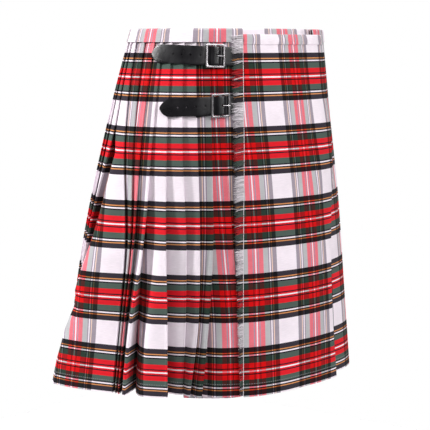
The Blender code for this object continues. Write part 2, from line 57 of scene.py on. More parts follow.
# ------------------------------------------------------------- the figure
ANGLES = np.radians([0, 45, 90, 135, 180])
WAIST_ROUND = (0.000, (0.145, 0.172, 0.194, 0.166, 0.147))
HIP_ROUND = (-0.200, (0.172, 0.191, 0.239, 0.215, 0.173))
HEM_ROUND = (-0.610, (0.196, 0.225, 0.257, 0.300, 0.246))

# ------------------------------------------------------------- the cut
DROP = 0.600
CLOTH_TOP = -0.0015                 # top edge of the cloth, inside its band
HEM_TURN = 0.0012                   # the hem's edge falls this far past the drop
FELL = -0.19                        # the pleats are stitched down to here
BAND_HEIGHT = 0.022
APRON_TOP = -0.0095
APRON_INSET = 0.0013                # its cloth starts this far inside its band
APRON_BAND_BOTTOM = -0.026
TURNED_UNDER = (0.007, 0.014, 0.021, 0.028)     # points of the left edge's turning
FOLD = 0.0008                       # radius of a pressed fold
# Edges of the aprons as fractions of the way round, by height.
EDGE_HEIGHTS = (0.0, -0.095, -0.20, -0.30, -0.40, -0.50, -0.61)
FRINGED_EDGE = (0.1138, 0.1097, 0.1065, 0.1060, 0.1060, 0.1060, 0.1062)
FOLDED_EDGE = (-0.0810, -0.0800, -0.0700, -0.0490, -0.0345, -0.0310, -0.0358)
UNDER_APRON_PAST = 0.070            # it starts this far past the folded edge
UNDER_APRON_END = 0.1712            # and ends here, under the first pleats
BAND_PAST = 0.072                   # the same two places for the waistband
BAND_END = 0.9385
APRON_BAND_PAST = 0.0022

# Fold edges of the first pleats as fractions of the way round, by height;
# at the hem, the depth behind each face (mm), how far the edge stands proud
# (mm) and the share of the face that stays flat.
TABLE_HEIGHTS = (0.0, FELL, -0.34, -0.48, -0.61)
#         waist   fell    mid     low     hem   depth proud flat
FOLDS = ((0.1230, 0.1130, 0.1070, 0.1030, 0.1000, 16, 0, 0.3),
         (0.1465, 0.1300, 0.1190, 0.1110, 0.1100, 16, 0, 0.5),
         (0.1660, 0.1490, 0.1418, 0.1438, 0.1500, 14, 0, 0.3),
         (0.1860, 0.1670, 0.1569, 0.1550, 0.1630, 10, -6, 0.3),
         (0.2035, 0.1860, 0.1727, 0.1690, 0.1715, 34, -14, 0.5),
         (0.2225, 0.2060, 0.1955, 0.1872, 0.1834, 56, 12, 0.56),
         (0.2380, 0.2260, 0.2208, 0.2250, 0.2275, 18, 18, 0.3),
         (0.2530, 0.2415, 0.2335, 0.2340, 0.2365, 16, 8, 0.3),
         (0.2760, 0.2535, 0.2385, 0.2381, 0.2406, 16, 6, 0.3),
         (0.3020, 0.2690, 0.2460, 0.2424, 0.2450, 36, 6, 0.72),
         (0.3220, 0.2990, 0.3160, 0.3400, 0.3560, 24, -12, 0.3),
         (0.3440, 0.3200, 0.3370, 0.3600, 0.3760, 18, -12, 0.3))
LAST_FOLD = (0.9050, 0.9080, 0.9020, 0.8980, 0.8980, 18, 0, 0.3)
WIDE_FACE = 0.045                   # a face narrower than this falls early
CORNER_FACE = 9                     # this wide face makes the hem's corner
CORNER_BULGE = 0.020                # at the hem
CORNER_SHARE = 0.62                 # where along the face
CORNER_SLOT = 0.024                 # extra depth behind it, half-way down
CORNER_GAPE = 0.006                 # how far that slot gapes
CORNER_SWELL = 0.006                # how far the face swells there
CORNER_LIFT = 0.003                 # and how far the next edge stands out
CORNER_FLAT = 0.70                  # share of the face that stays flat there
OPENING = (0.25, 0.60)              # the pleats open between these depths
FIRST_FACE = 0.62                   # share of the first face that shows
FACE_SHARES = (0.06, 0.16, 0.28, 0.39, 0.50, CORNER_SHARE, 0.70, 0.78, 0.87, 0.95)
SWELL_END = 0.80                    # share of the face where the swell ends
TAIL_END = 0.012                    # past the over-apron's folded edge
TAIL_N = -0.0047                    # at the waist; it sinks towards the hem
TAIL_SINK = 0.020
EVEN_FOLDS = 29
FIRST_DEPTH = (4.5, 5.0, 11.0, 16.0, 20.0)
HIDDEN = (0.60, 0.55, 0.40, 0.30, 0.30)

# The tartan: one half of the sett, from its middle white line outwards (mm),
# with the thread's colour and how much of it shows as warp.
SETT_HALF = 60.0
SETT_REPEAT = 0.120                 # the whole sett, in metres
SETT = ((0.0, "white", 0.36), (1.05, "red", 0.50), (3.6, "black", 0.26),
        (5.4, "red", 0.50), (13.5, "green", 0.29), (22.9, "black", 0.28),
        (25.0, "white", 0.36), (27.2, "black", 0.28), (29.3, "gold", 0.28),
        (31.4, "charcoal", 0.35), (39.5, "white", 0.36))
WEFT_CENTRE = -0.0793               # height of a weft group's middle line
STITCH_HEIGHT = 0.0200              # of the hem's stitching above the hem
STITCH_RATE = 250.0                 # its stitches in a metre
# Where each pleat's fold edge falls in the sett, in a run of six (mm).
PLEAT_STARTS = (-44.0, -14.0, 14.5, 42.0, 42.0, 42.0)
TAIL_START = -0.112                 # the same for the tail, in metres
# Arcs (mm) of two middle lines of the over-apron's warp, by height.
WARP_HEIGHTS = (0.0, -0.14, -0.256, -0.378, -0.497, -0.60)
WARP_LINES = ((13.3, 14.0, 9.6, 8.6, 9.2, 9.2),
              (133.3, 134.2, 132.0, 135.2, 141.0, 146.0))
# Arcs (mm) of the middle lines along the waistband, 120 mm of cloth apart.
BAND_LINES = (-215.0, -92.0, 34.3, 167.3, 285.0, 405.0)

YARNS_PER_LOCK = 6                  # fringe yarns that cling together
YARN_RADIUS = 0.00044
FRINGE_FRONT = 0.0058               # no yarn stands further out than this

#          name   buckle height   tip, root and buckle (arcs)   rise per arc
STRAPS = (("upper", -0.0440, 0.2850, 0.1170, 0.1750, 0.04),
          ("lower", -0.1245, 0.2750, 0.1200, 0.1745, -0.04))
STRAP_WIDTH = 0.030
TIP_LENGTH = 0.019
FIRST_HOLE = 0.0250                 # from the buckle's centre bar
HOLE_PITCH = 0.0150
HOLES = 4
PRONG_SLOT = (-0.0027, 0.0038, 0.0032)          # its place, length and width
TAB_SIZE = (0.0400, 0.0240)
TAB_WALL = 0.0010
TAB_DROP = (0.0020, 0.0035)         # how far it hangs at the bar, and adds to its end
BUCKLE_HALF = 0.0140
BUCKLE_BAR = 0.0034
BUCKLE_WIRE = 0.0024
# The prong's wire (x, z), from its end round the centre bar to the right bar.
PRONG_PATH = ((0.0022, 0.0030), (0.0022, -0.0006), (0.0, -0.0016), (-0.0024, -0.0004),
              (-0.0027, 0.0030), (-0.0027, 0.0056), (-0.0036, 0.0068), (-0.0060, 0.0066),
              (-0.0100, 0.0056), (-0.0140, 0.0049), (-0.0164, 0.0046))
PRONG_RADIUS = 0.0009
PRONG_TAPERS_AT = 6                 # the bend after which the wire grows thinner
PRONG_TAPER = 0.93

# Suns: name, turn from +Y and height (degrees), spread (degrees), power.
SUNS = (("key", 137.0, 30.0, 6.0, 3.8),
        ("front", -8.0, 20.0, 12.0, 1.25),
        ("overhead", 0.0, 90.0, 40.0, 1.15))
NEAR_BOX = (-0.50, -0.98, 0.62)     # the small soft box near the waist
NEAR_BOX_AIM = (0.0, 0.0, -0.08)
FLOOR_HEIGHT = -1.05
FLOOR_WIDTH = 2.6
CAMERA_TURN = 53.2943               # degrees from +Y
CAMERA_PITCH = 6.66                 # degrees down
CAMERA_AWAY = 2.5697
CAMERA_HEIGHT = -0.0262
CAMERA_LENS = 122.13                # mm, on a 36 mm sensor
CAMERA_SHIFT = -0.0270


# ============================================================== properties
def linear(code):
    """sRGB hex colour as linear numbers."""
    parts = [((code >> shift) & 255) / 255 for shift in (16, 8, 0)]
    return tuple(c / 12.92 if c <= 0.04045 else ((c + 0.055) / 1.055) ** 2.4 for c in parts)


def colour(name, description, code):
    return FloatVectorProperty(name=name, description=description, size=3,
                               subtype="COLOR", min=0, max=1,
                               default=linear(code))


def length(name, description, default):
    return FloatProperty(name=name, description=description, default=default,
                         subtype="DISTANCE", unit="LENGTH", min=0.0001)


class KiltSizes(bpy.types.PropertyGroup):
    """Sizes a user may change."""
    apron_cloth: length("Apron cloth", "Thickness of the aprons", 0.0012)
    pleat_cloth: length("Pleat cloth", "Thickness of the pleats", 0.0010)
    band_cloth: length("Band cloth", "Thickness of the waistbands", 0.0010)
    wale: length("Twill wale", "Spacing of the twill's diagonal ribs", 0.0022)
    fringe_root: length("Fringe at waist", "Length of the fringe's yarns at the waist", 0.020)
    fringe_hem: length("Fringe at hem", "Length of the fringe's yarns at the hem", 0.0065)
    strap_wall: length("Strap leather", "Thickness of the hip straps", 0.0020)
    hole: length("Strap hole", "Radius of the punched holes", 0.0014)
    yarns: IntProperty(name="Fringe yarns", description="Number of loose yarns",
                       default=1300, min=50, max=2000)


class KiltColours(bpy.types.PropertyGroup):
    """Colours a user may change; the yarns are as they show as weft."""
    white: colour("White yarn", "Ground of the tartan", 0xF8F0F6)
    red: colour("Red yarn", "Red stripes of the tartan", 0xE31F2B)
    green: colour("Green yarn", "Green stripes of the tartan", 0x51635A)
    black: colour("Black yarn", "Guard lines of the tartan", 0x231B28)
    gold: colour("Gold yarn", "Gold lines of the tartan", 0xD9965C)
    charcoal: colour("Charcoal yarn", "Outer stripes of the tartan", 0x37333B)
    leather: colour("Leather", "Dyed strap leather", 0x0B0A0C)
    nickel: colour("Nickel", "Plated buckles", 0xCBC7C9)
    floor: colour("Floor", "Floor of the stage", 0xF4F3F4)


# ============================================================== the section
ORDERS = np.arange(len(ANGLES))
WAVES = np.linalg.solve(
    np.cos(np.outer(ANGLES, ORDERS)),
    np.array([WAIST_ROUND[1], HIP_ROUND[1], HEM_ROUND[1]]).T).T
FINE = np.linspace(0, 2 * np.pi, 1441)
ARCS = {}


def spot(phi, z, n):
    """Point at angle phi from the front, height z, n outside the section."""
    phi, z, n = np.broadcast_arrays(phi, z, n)
    hip = HIP_ROUND[0] / HEM_ROUND[0]
    t = z / HEM_ROUND[0]
    shares = np.stack([(t - hip) * (t - 1) / hip,
                       t * (t - 1) / (hip * (hip - 1)),
                       t * (t - hip) / (1 - hip)], -1)
    waves = shares @ WAVES
    turns = phi[..., None] * ORDERS
    r = (waves * np.cos(turns)).sum(-1)
    dr = (-waves * ORDERS * np.sin(turns)).sum(-1)
    sin, cos = np.sin(phi), np.cos(phi)
    tx = -dr * sin - r * cos
    ty = -dr * cos + r * sin
    size = np.hypot(tx, ty)
    return np.stack([-r * sin - n * ty / size, -r * cos + n * tx / size, z], -1)


def arc_table(z):
    key = round(float(z), 6)
    if key not in ARCS:
        points = spot(FINE, key, 0.0)
        steps = np.linalg.norm(np.diff(points, axis=0), axis=1)
        ARCS[key] = np.concatenate([[0], np.cumsum(steps)])
    return ARCS[key]


def girth(z):
    return arc_table(z)[-1]


def angle_at(z, s):
    """Angle round the body of an arc length s at height z."""
    table = arc_table(z)
    turns = np.floor(np.asarray(s) / table[-1])
    return np.interp(s - turns * table[-1], table, FINE) + turns * 2 * np.pi


def ease(x, start, end):
    t = np.clip((np.asarray(x, float) - start) / (end - start), 0, 1)
    return t * t * (3 - 2 * t)


def smooth(x, places, values):
    """Value at x of a smooth line through rising places."""
    places, values = np.asarray(places, float), np.asarray(values, float)
    slope = np.gradient(values, places)
    x = np.clip(np.asarray(x, float), places[0], places[-1])
    k = np.clip(np.searchsorted(places, x) - 1, 0, len(places) - 2)
    gap = places[k + 1] - places[k]
    t = (x - places[k]) / gap
    return ((1 + 2 * t) * (1 - t) ** 2 * values[k]
            + t * (1 - t) ** 2 * gap * slope[k]
            + t * t * (3 - 2 * t) * values[k + 1]
            + t * t * (t - 1) * gap * slope[k + 1])


def by_height(z, heights, values):
    return smooth(-np.asarray(z), -np.array(heights), values)


# ============================================================== layers
def near_fringe(z, q):
    return ease(q - by_height(z, EDGE_HEIGHTS, FRINGED_EDGE), -0.044, -0.014)


def near_fold(z, q):
    return ease(by_height(z, EDGE_HEIGHTS, FOLDED_EDGE) - q, -0.065, -0.035)


def over_apron_n(z, q):
    hip = 3.0 * (ease(-z, 0.095, 0.16) - ease(-z, 0.22, 0.34))
    return (-0.6 + 2.8 * near_fringe(z, q) + (2.6 + hip) * near_fold(z, q)) / 1000


def pleat_depth(z):
    base = by_height(z, TABLE_HEIGHTS, FIRST_DEPTH)
    return base * (1 + 0.2 * ease(-z, -FELL, DROP))


def under_apron_n(z, q):
    front = 4.8 + 8.0 * ease(-z, 0.10, 0.60)
    right = 5.4 + pleat_depth(z) - front
    left = max(14.2, 7.4 + pleat_depth(z)) - front
    return -(front + right * near_fringe(z, q) + left * near_fold(z, q)) / 1000


def tip_centre(z, q):
    side = 4.5 * ease(-z, 0.12, 0.30) * ease(q, 0.80, 0.88)
    return (-2.85 - 1.8 * ease(q, 0.87, 0.90) + side) / 1000


# ============================================================== meshes
def mesh_piece(name, points, faces, mat):
    """Mesh object with its place in its mesh."""
    mesh = bpy.data.meshes.new(name)
    mesh.from_pydata(np.asarray(points).tolist(), [], np.asarray(faces).tolist())
    mesh.materials.append(mat)
    piece = bpy.data.objects.new(name, mesh)
    bpy.context.collection.objects.link(piece)
    return piece


def map_cloth(piece, places):
    """Give each face corner its place on the flat cloth."""
    layer = piece.data.uv_layers.new(name="cloth")
    layer.data.foreach_set("uv", np.array(places, np.float32).reshape(-1))


def only(piece):
    """Select and activate one piece alone."""
    bpy.ops.object.select_all(action="DESELECT")
    piece.select_set(True)
    bpy.context.view_layer.objects.active = piece


def soften(piece, degrees):
    only(piece)
    bpy.ops.object.shade_smooth_by_angle(angle=math.radians(degrees))


def mean_direction(grid, axis):
    """Unit direction along one axis of a grid of points, at every point."""
    step = np.diff(grid, axis=axis)
    step /= np.maximum(np.linalg.norm(step, axis=-1, keepdims=True), 1e-9)
    first = np.take(step, [0], axis)
    last = np.take(step, [-1], axis)
    both = (np.concatenate([first, step], axis) + np.concatenate([step, last], axis))
    return both / np.maximum(np.linalg.norm(both, axis=-1, keepdims=True), 1e-9)


def shell(name, middle, run, thickness):
    """Thin closed tartan round a grid of points [row][column].

    run[row][span] is the cloth's own length at both ends of each span. It
    goes into the UV map, in metres, beside the height above a weft group.
    """
    rows, cols = middle.shape[:2]
    normal = np.cross(mean_direction(middle, 1), mean_direction(middle, 0))
    normal /= np.linalg.norm(normal, axis=-1, keepdims=True)
    outer = middle + normal * thickness / 2
    inner = middle - normal * thickness / 2
    rise = middle[..., 2] - WEFT_CENTRE
    a = np.arange(rows * cols).reshape(rows, cols)
    b = a + rows * cols
    r, c = np.meshgrid(np.arange(rows - 1), np.arange(cols - 1), indexing="ij")
    r, c = r.ravel(), c.ravel()
    edge = np.arange(cols - 1)
    side = np.arange(rows - 1)
    end = cols - 2

    def corner(row, span, right):
        return np.stack([run[row, span, right], rise[row, span + right]], -1)

    front = (corner(r, c, 0), corner(r, c, 1), corner(r + 1, c, 1), corner(r + 1, c, 0))
    groups = [
        ((a[r, c], a[r, c + 1], a[r + 1, c + 1], a[r + 1, c]), front),
        ((b[r, c], b[r + 1, c], b[r + 1, c + 1], b[r, c + 1]),
         (front[0], front[3], front[2], front[1]))]
    for row, flip in ((0, False), (rows - 1, True)):
        left, right = corner(row, edge, 0), corner(row, edge, 1)
        quad = (a[row, edge], b[row, edge], b[row, edge + 1], a[row, edge + 1])
        around = (left, left, right, right)
        groups.append((quad[::-1], around[::-1]) if flip else (quad, around))
    for col, span, right in ((0, 0, 0), (cols - 1, end, 1)):
        high, low = corner(side, span, right), corner(side + 1, span, right)
        quad = (a[side, col], a[side + 1, col], b[side + 1, col], b[side, col])
        around = (high, low, low, high)
        groups.append((quad[::-1], around[::-1]) if right else (quad, around))
    faces = np.concatenate([np.stack(quad, 1) for quad, _ in groups])
    places = np.concatenate([np.stack(around, 1) for _, around in groups])
    points = np.concatenate([outer.reshape(-1, 3), inner.reshape(-1, 3)])
    piece = mesh_piece(name, points, faces, material("worsted_tartan_twill"))
    map_cloth(piece, places)
    soften(piece, 62)
    return piece


def spans(run):
    """Runs of a cloth without jumps, as the two ends of each span."""
    return np.stack([run[:, :-1], run[:, 1:]], -1)


def tube(points, radii, sides, first, faces, out):
    """Adds a tube through points to the lists `out` and `faces`."""
    points = np.asarray(points)
    along = np.gradient(points, axis=0)
    along /= np.linalg.norm(along, axis=1, keepdims=True)
    helper = np.array([0.0, 0.0, 1.0]) if abs(along[0, 2]) < 0.8 else np.array([0.6, 0.8, 0.0])
    across = np.cross(along, helper)
    across /= np.linalg.norm(across, axis=1, keepdims=True)
    up = np.cross(across, along)
    turns = np.arange(sides) * 2 * np.pi / sides
    for point, x, y, radius in zip(points, across, up, radii):
        ring = point + radius * (np.outer(np.cos(turns), x) + np.outer(np.sin(turns), y))
        out.append(ring)
    count = len(points)
    for k in range(count - 1):
        for j in range(sides):
            m = (j + 1) % sides
            faces.append((first + k * sides + j, first + (k + 1) * sides + j,
                          first + (k + 1) * sides + m, first + k * sides + m))
    return first + count * sides


# ============================================================== materials
def fill(tree, target, settings=(), links=()):
    """Set a node's values and sockets, and feed its inputs.

    A link may name a socket, or a node whose first output is meant.
    """
    for key, value in dict(settings).items():
        if isinstance(key, str) and hasattr(target, key):
            setattr(target, key, value)
        else:
            target.inputs[key].default_value = value
    for key, source in dict(links).items():
        if isinstance(source, bpy.types.Node):
            source = source.outputs[0]
        tree.links.new(source, target.inputs[key])
    return target


def node(tree, kind, settings=(), links=()):
    """Add a node with its settings and links."""
    return fill(tree, tree.nodes.new("ShaderNode" + kind), settings, links)


def new_material(name):
    mat = bpy.data.materials.new(name)
    mat.use_nodes = True
    tree = mat.node_tree
    return mat, tree, tree.nodes["Principled BSDF"]


TINT = {"data_type": "RGBA", "blend_type": "MULTIPLY", 0: 1.0}


def sett_ramp(tree, run, colours, warp):
    """The tartan's stripes along one thread direction, mirrored each half."""
    scaled = node(tree, "Math", {"operation": "MULTIPLY", 1: 1000 / SETT_HALF}, {0: run})
    folded = node(tree, "Math", {"operation": "PINGPONG", 1: 1.0}, {0: scaled})
    ramp = node(tree, "ValToRGB", {}, {"Fac": folded})
    ramp.color_ramp.interpolation = "CONSTANT"
    stops = ramp.color_ramp.elements
    stops.remove(stops[1])
    for k, (start, yarn, show) in enumerate(SETT):
        stop = stops[0] if k == 0 else stops.new(start / SETT_HALF)
        tone = np.array(getattr(colours, yarn))
        stop.color = (*(tone ** show if warp else tone), 1)
    return ramp.outputs["Color"]


def tartan_twill():
    """Worsted 2/2 twill, piece woven and pressed.

    Wool yarn is matt with a faint sheen at grazing light.  Real twill ribs
    are 1.1 mm apart; they are drawn twice as coarse, so that they show.
    """
    colours, sizes = bpy.context.scene.kilt_colours, bpy.context.scene.kilt_sizes
    mat, tree, shader = new_material("worsted_tartan_twill")
    places = node(tree, "UVMap", {"uv_map": "cloth"})
    parts = node(tree, "SeparateXYZ", {}, {0: places.outputs["UV"]})
    run, rise = parts.outputs["X"], parts.outputs["Y"]
    weft = sett_ramp(tree, rise, colours, False)
    warp = sett_ramp(tree, run, colours, True)
    crossed = node(tree, "Mix", TINT, {6: weft, 7: warp})
    # dark yarn crossing dark yarn closes up, where pale yarn would scatter
    either = node(tree, "Mix",
                  {"data_type": "RGBA", "blend_type": "SCREEN", 0: 1.0},
                  {6: weft, 7: warp})
    closed = node(tree, "VectorMath",
                  {"operation": "MULTIPLY_ADD", 1: (1.45,) * 3, 2: (-0.45,) * 3},
                  {0: either.outputs[2]})
    floor = node(tree, "VectorMath", {"operation": "MAXIMUM", 1: (0.05,) * 3}, {0: closed})
    crossed = node(tree, "Mix", TINT, {6: crossed.outputs[2], 7: floor})

    # diagonal ribs, where more of the weft lies on top
    slant = node(tree, "Math", {"operation": "ADD"}, {0: run, 1: rise})
    count = node(tree, "Math", {"operation": "MULTIPLY", 1: 2 / sizes.wale}, {0: slant})
    rib = node(tree, "Math", {"operation": "PINGPONG", 1: 1.0}, {0: count})
    show = node(tree, "Math", {"operation": "MULTIPLY", 1: 0.24}, {0: rib})
    woven = node(tree, "Mix", {"data_type": "RGBA"}, {0: show, 6: crossed.outputs[2], 7: weft})

    # uneven yarn: long thin flecks along the weft, and broad soft cloudiness
    stretch = node(tree, "Mapping", {"Scale": (90.0, 1500.0, 1.0)}, {0: places.outputs["UV"]})
    fleck = node(tree, "TexNoise", {"Scale": 1.0, "Detail": 1.0}, {"Vector": stretch})
    object_place = node(tree, "TexCoord")
    cloud = node(tree, "TexNoise", {"Scale": 28.0, "Detail": 3.0},
                 {"Vector": object_place.outputs["Object"]})
    both = node(tree, "Math", {"operation": "ADD"},
                {0: fleck.outputs["Fac"], 1: cloud.outputs["Fac"]})
    level = node(tree, "MapRange",
                 {"From Min": 0.6, "From Max": 1.4, "To Min": 0.90, "To Max": 1.08},
                 {"Value": both})
    uneven = node(tree, "Mix", TINT, {6: woven.outputs[2], 7: level})

    # hem stitching: a broken line of grey thread above the selvedge
    above = node(tree, "Math",
                 {"operation": "COMPARE", 1: -DROP + STITCH_HEIGHT - WEFT_CENTRE, 2: 0.0005},
                 {0: rise})
    steps = node(tree, "Math", {"operation": "MULTIPLY", 1: STITCH_RATE}, {0: run})
    part = node(tree, "Math", {"operation": "FRACT"}, {0: steps})
    dash = node(tree, "Math", {"operation": "LESS_THAN", 1: 0.7}, {0: part})
    sewn = node(tree, "Math", {"operation": "MULTIPLY"}, {0: above, 1: dash})
    faint = node(tree, "Math", {"operation": "MULTIPLY", 1: 0.45}, {0: sewn})
    final = node(tree, "Mix",
                 {"data_type": "RGBA", 7: (*linear(0xA9A5AC), 1)},
                 {0: faint, 6: uneven.outputs[2]})

    height = node(tree, "Math", {"operation": "MULTIPLY_ADD", 1: 0.6},
                  {0: fleck.outputs["Fac"], 2: rib})
    bump = node(tree, "Bump", {"Strength": 0.35, "Distance": 0.0003}, {"Height": height})
    fill(tree, shader, {"Roughness": 0.88, "Specular IOR Level": 0.12,
                        "Sheen Weight": 0.03, "Sheen Roughness": 0.5},
         {"Base Color": final.outputs[2], "Normal": bump})
    return mat


def bridle_leather():
    """Vegetable-tanned bridle leather, dyed black and waxed.

    A soft waxy gloss over a fine grain of 0.5 mm cells, drawn at 0.9 mm so
    that it shows, with the wax worn a little duller in broad patches.
    """
    mat, tree, shader = new_material("waxed_bridle_leather")
    dye = (*bpy.context.scene.kilt_colours.leather, 1)
    place = node(tree, "TexCoord").outputs["Object"]
    grain = node(tree, "TexVoronoi", {"Scale": 1100.0}, {"Vector": place})
    crease = node(tree, "TexNoise", {"Scale": 180.0, "Detail": 4.0}, {"Vector": place})
    worn = node(tree, "TexNoise", {"Scale": 40.0, "Detail": 2.0}, {"Vector": place})
    tone = node(tree, "Mix",
                {"data_type": "RGBA", 6: dye, 7: (*linear(0x17151A), 1)},
                {0: worn.outputs["Fac"]})
    dull = node(tree, "MapRange",
                {"From Min": 0.3, "From Max": 0.7, "To Min": 0.24, "To Max": 0.42},
                {"Value": worn.outputs["Fac"]})
    relief = node(tree, "Math", {"operation": "ADD"},
                  {0: grain.outputs["Distance"], 1: crease.outputs["Fac"]})
    bump = node(tree, "Bump", {"Strength": 0.35, "Distance": 0.0003}, {"Height": relief})
    fill(tree, shader, {}, {"Base Color": tone.outputs[2], "Roughness": dull, "Normal": bump})
    return mat


def nickel_plate():
    """Stamped steel wire buckle, nickel plated and tumbled.

    Bright and slightly soft, with fine rubbing marks and duller patches.
    """
    mat, tree, shader = new_material("nickel_plated_steel")
    plate = (*bpy.context.scene.kilt_colours.nickel, 1)
    place = node(tree, "TexCoord").outputs["Object"]
    worn = node(tree, "TexNoise", {"Scale": 220.0, "Detail": 4.0}, {"Vector": place})
    tone = node(tree, "Mix",
                {"data_type": "RGBA", 6: plate, 7: (*linear(0x8D898F), 1)},
                {0: worn.outputs["Fac"]})
    dull = node(tree, "MapRange", {"To Min": 0.14, "To Max": 0.34}, {"Value": worn.outputs["Fac"]})
    bump = node(tree, "Bump", {"Strength": 0.08, "Distance": 0.0002},
                {"Height": worn.outputs["Fac"]})
    fill(tree, shader, {"Metallic": 1.0},
         {"Base Color": tone.outputs[2], "Roughness": dull, "Normal": bump})
    return mat


def loose_yarn():
    """Weft yarn left loose where the warp has been drawn out: soft, hairy."""
    colours = bpy.context.scene.kilt_colours
    mat, tree, shader = new_material("unravelled_worsted_yarn")
    places = node(tree, "UVMap", {"uv_map": "cloth"})
    parts = node(tree, "SeparateXYZ", {}, {0: places.outputs["UV"]})
    weft = sett_ramp(tree, parts.outputs["Y"], colours, False)
    # each yarn is darkened by a random share, down to about half: partly painted shade among the
    # crowded yarns, partly tone that differs at random from yarn to yarn
    painted_yarn_shade = node(tree, "MapRange", {"To Min": 0.22, "To Max": 1.0}, {"Value": parts.outputs["X"]})
    toned = node(tree, "Mix", TINT, {6: weft, 7: painted_yarn_shade})
    place = node(tree, "TexCoord").outputs["Object"]
    hair = node(tree, "TexNoise", {"Scale": 1400.0, "Detail": 2.0}, {"Vector": place})
    bump = node(tree, "Bump", {"Strength": 0.5, "Distance": 0.0004},
                {"Height": hair.outputs["Fac"]})
    fill(tree, shader, {"Roughness": 0.95, "Specular IOR Level": 0.2,
                        "Sheen Weight": 0.25},
         {"Base Color": toned.outputs[2], "Normal": bump})
    return mat


def stage_paint():
    """Matt painted studio floor, with faint roller marks."""
    mat, tree, shader = new_material("matt_studio_paint")
    place = node(tree, "TexCoord").outputs["Object"]
    marks = node(tree, "TexNoise", {"Scale": 3.0, "Detail": 3.0}, {"Vector": place})
    base = np.array(bpy.context.scene.kilt_colours.floor)
    tone = node(tree, "Mix",
                {"data_type": "RGBA", 6: (*(base * 0.985), 1), 7: (*base, 1)},
                {0: marks.outputs["Fac"]})
    fill(tree, shader, {"Roughness": 0.9}, {"Base Color": tone.outputs[2]})
    return mat


def material(name):
    """A finish by its maker's name, made once."""
    makers = {"worsted_tartan_twill": tartan_twill,
              "waxed_bridle_leather": bridle_leather,
              "nickel_plated_steel": nickel_plate,
              "unravelled_worsted_yarn": loose_yarn,
              "matt_studio_paint": stage_paint}
    return bpy.data.materials.get(name) or makers[name]()


# ============================================================== pleats
def fold_places(z):
    """Arc of every fold edge at height z, with its depth, proud and flat."""
    table = [by_height(z, TABLE_HEIGHTS, row[:5]) for row in FOLDS]
    last = by_height(z, TABLE_HEIGHTS, LAST_FOLD[:5])
    table += list(np.linspace(table[-1], last, EVEN_FOLDS + 1)[1:])
    rows = list(FOLDS) + [LAST_FOLD] * EVEN_FOLDS
    hem_depth, proud, flat = np.array([row[5:] for row in rows]).T
    base = by_height(z, TABLE_HEIGHTS, FIRST_DEPTH)
    depth = base * (1 + ease(-z, -FELL, DROP) * (hem_depth / FIRST_DEPTH[-1] - 1))
    place = np.array(table) * girth(z)
    k = np.arange(len(place))
    # pressed by hand, so no two folds hang quite alike
    sway = (0.7 * np.sin(2.3 * k + 9.0 * z) + 0.4 * np.sin(5.1 * k - 21.0 * z)) / 1000
    place += sway * (0.25 + 1.1 * ease(-z, 0.15, 0.6)) * (k >= len(FOLDS))
    opening = ease(-z, *OPENING)
    depth, proud, flat = depth / 1000, proud * opening / 1000, flat * opening
    slot = slot_share(z)
    depth[CORNER_FACE] += CORNER_SLOT * slot
    flat[CORNER_FACE] = max(flat[CORNER_FACE], CORNER_FLAT * slot)
    return place, depth, proud, flat


def bend(centre, heading, side, points=5):
    """Points round a fold's middle line, entered along heading."""
    across = np.array([-heading[1], heading[0]]) * side
    turns = np.radians(np.linspace(-90, 90, points))
    return [centre + FOLD * (heading * np.cos(a) + across * np.sin(a)) for a in turns]


def unit(v):
    return v / np.linalg.norm(v)


def slot_share(z):
    """1 where the corner face hides a deep slot, 0 at the fell and the hem."""
    return ease(-z, 0.16, 0.26) - ease(-z, 0.40, 0.54)


def face_points(z, leave, deep, flat, corner):
    """Points of a face, and how it heads into the fold behind it.

    It is flat by its edge and then falls; a narrow face falls straight.
    """
    wide = min((deep[0] - leave[0]) / WIDE_FACE, 1)
    flat *= wide
    power = 1 + 0.5 * wide * ease(-z, 0.25, 0.6)
    span = deep - leave
    heading = unit(np.array([span[0], span[1] * power / (1 - flat)]))
    span = deep - FOLD * np.array([-heading[1], heading[0]]) - leave
    shares = np.array(FACE_SHARES)
    falls = (np.maximum(shares - flat, 0) / (1 - flat)) ** power
    bulge = np.minimum((shares / CORNER_SHARE) ** 1.6, (1 - shares) / (1 - CORNER_SHARE))
    out = corner * CORNER_BULGE * ease(-z, 0.27, 0.46) * bulge
    swell = np.sin(math.pi * np.minimum(shares / SWELL_END, 1))
    out += corner * CORNER_SWELL * slot_share(z) * swell
    return [leave + [span[0] * t, span[1] * f + g] for t, f, g in zip(shares, falls, out)], heading


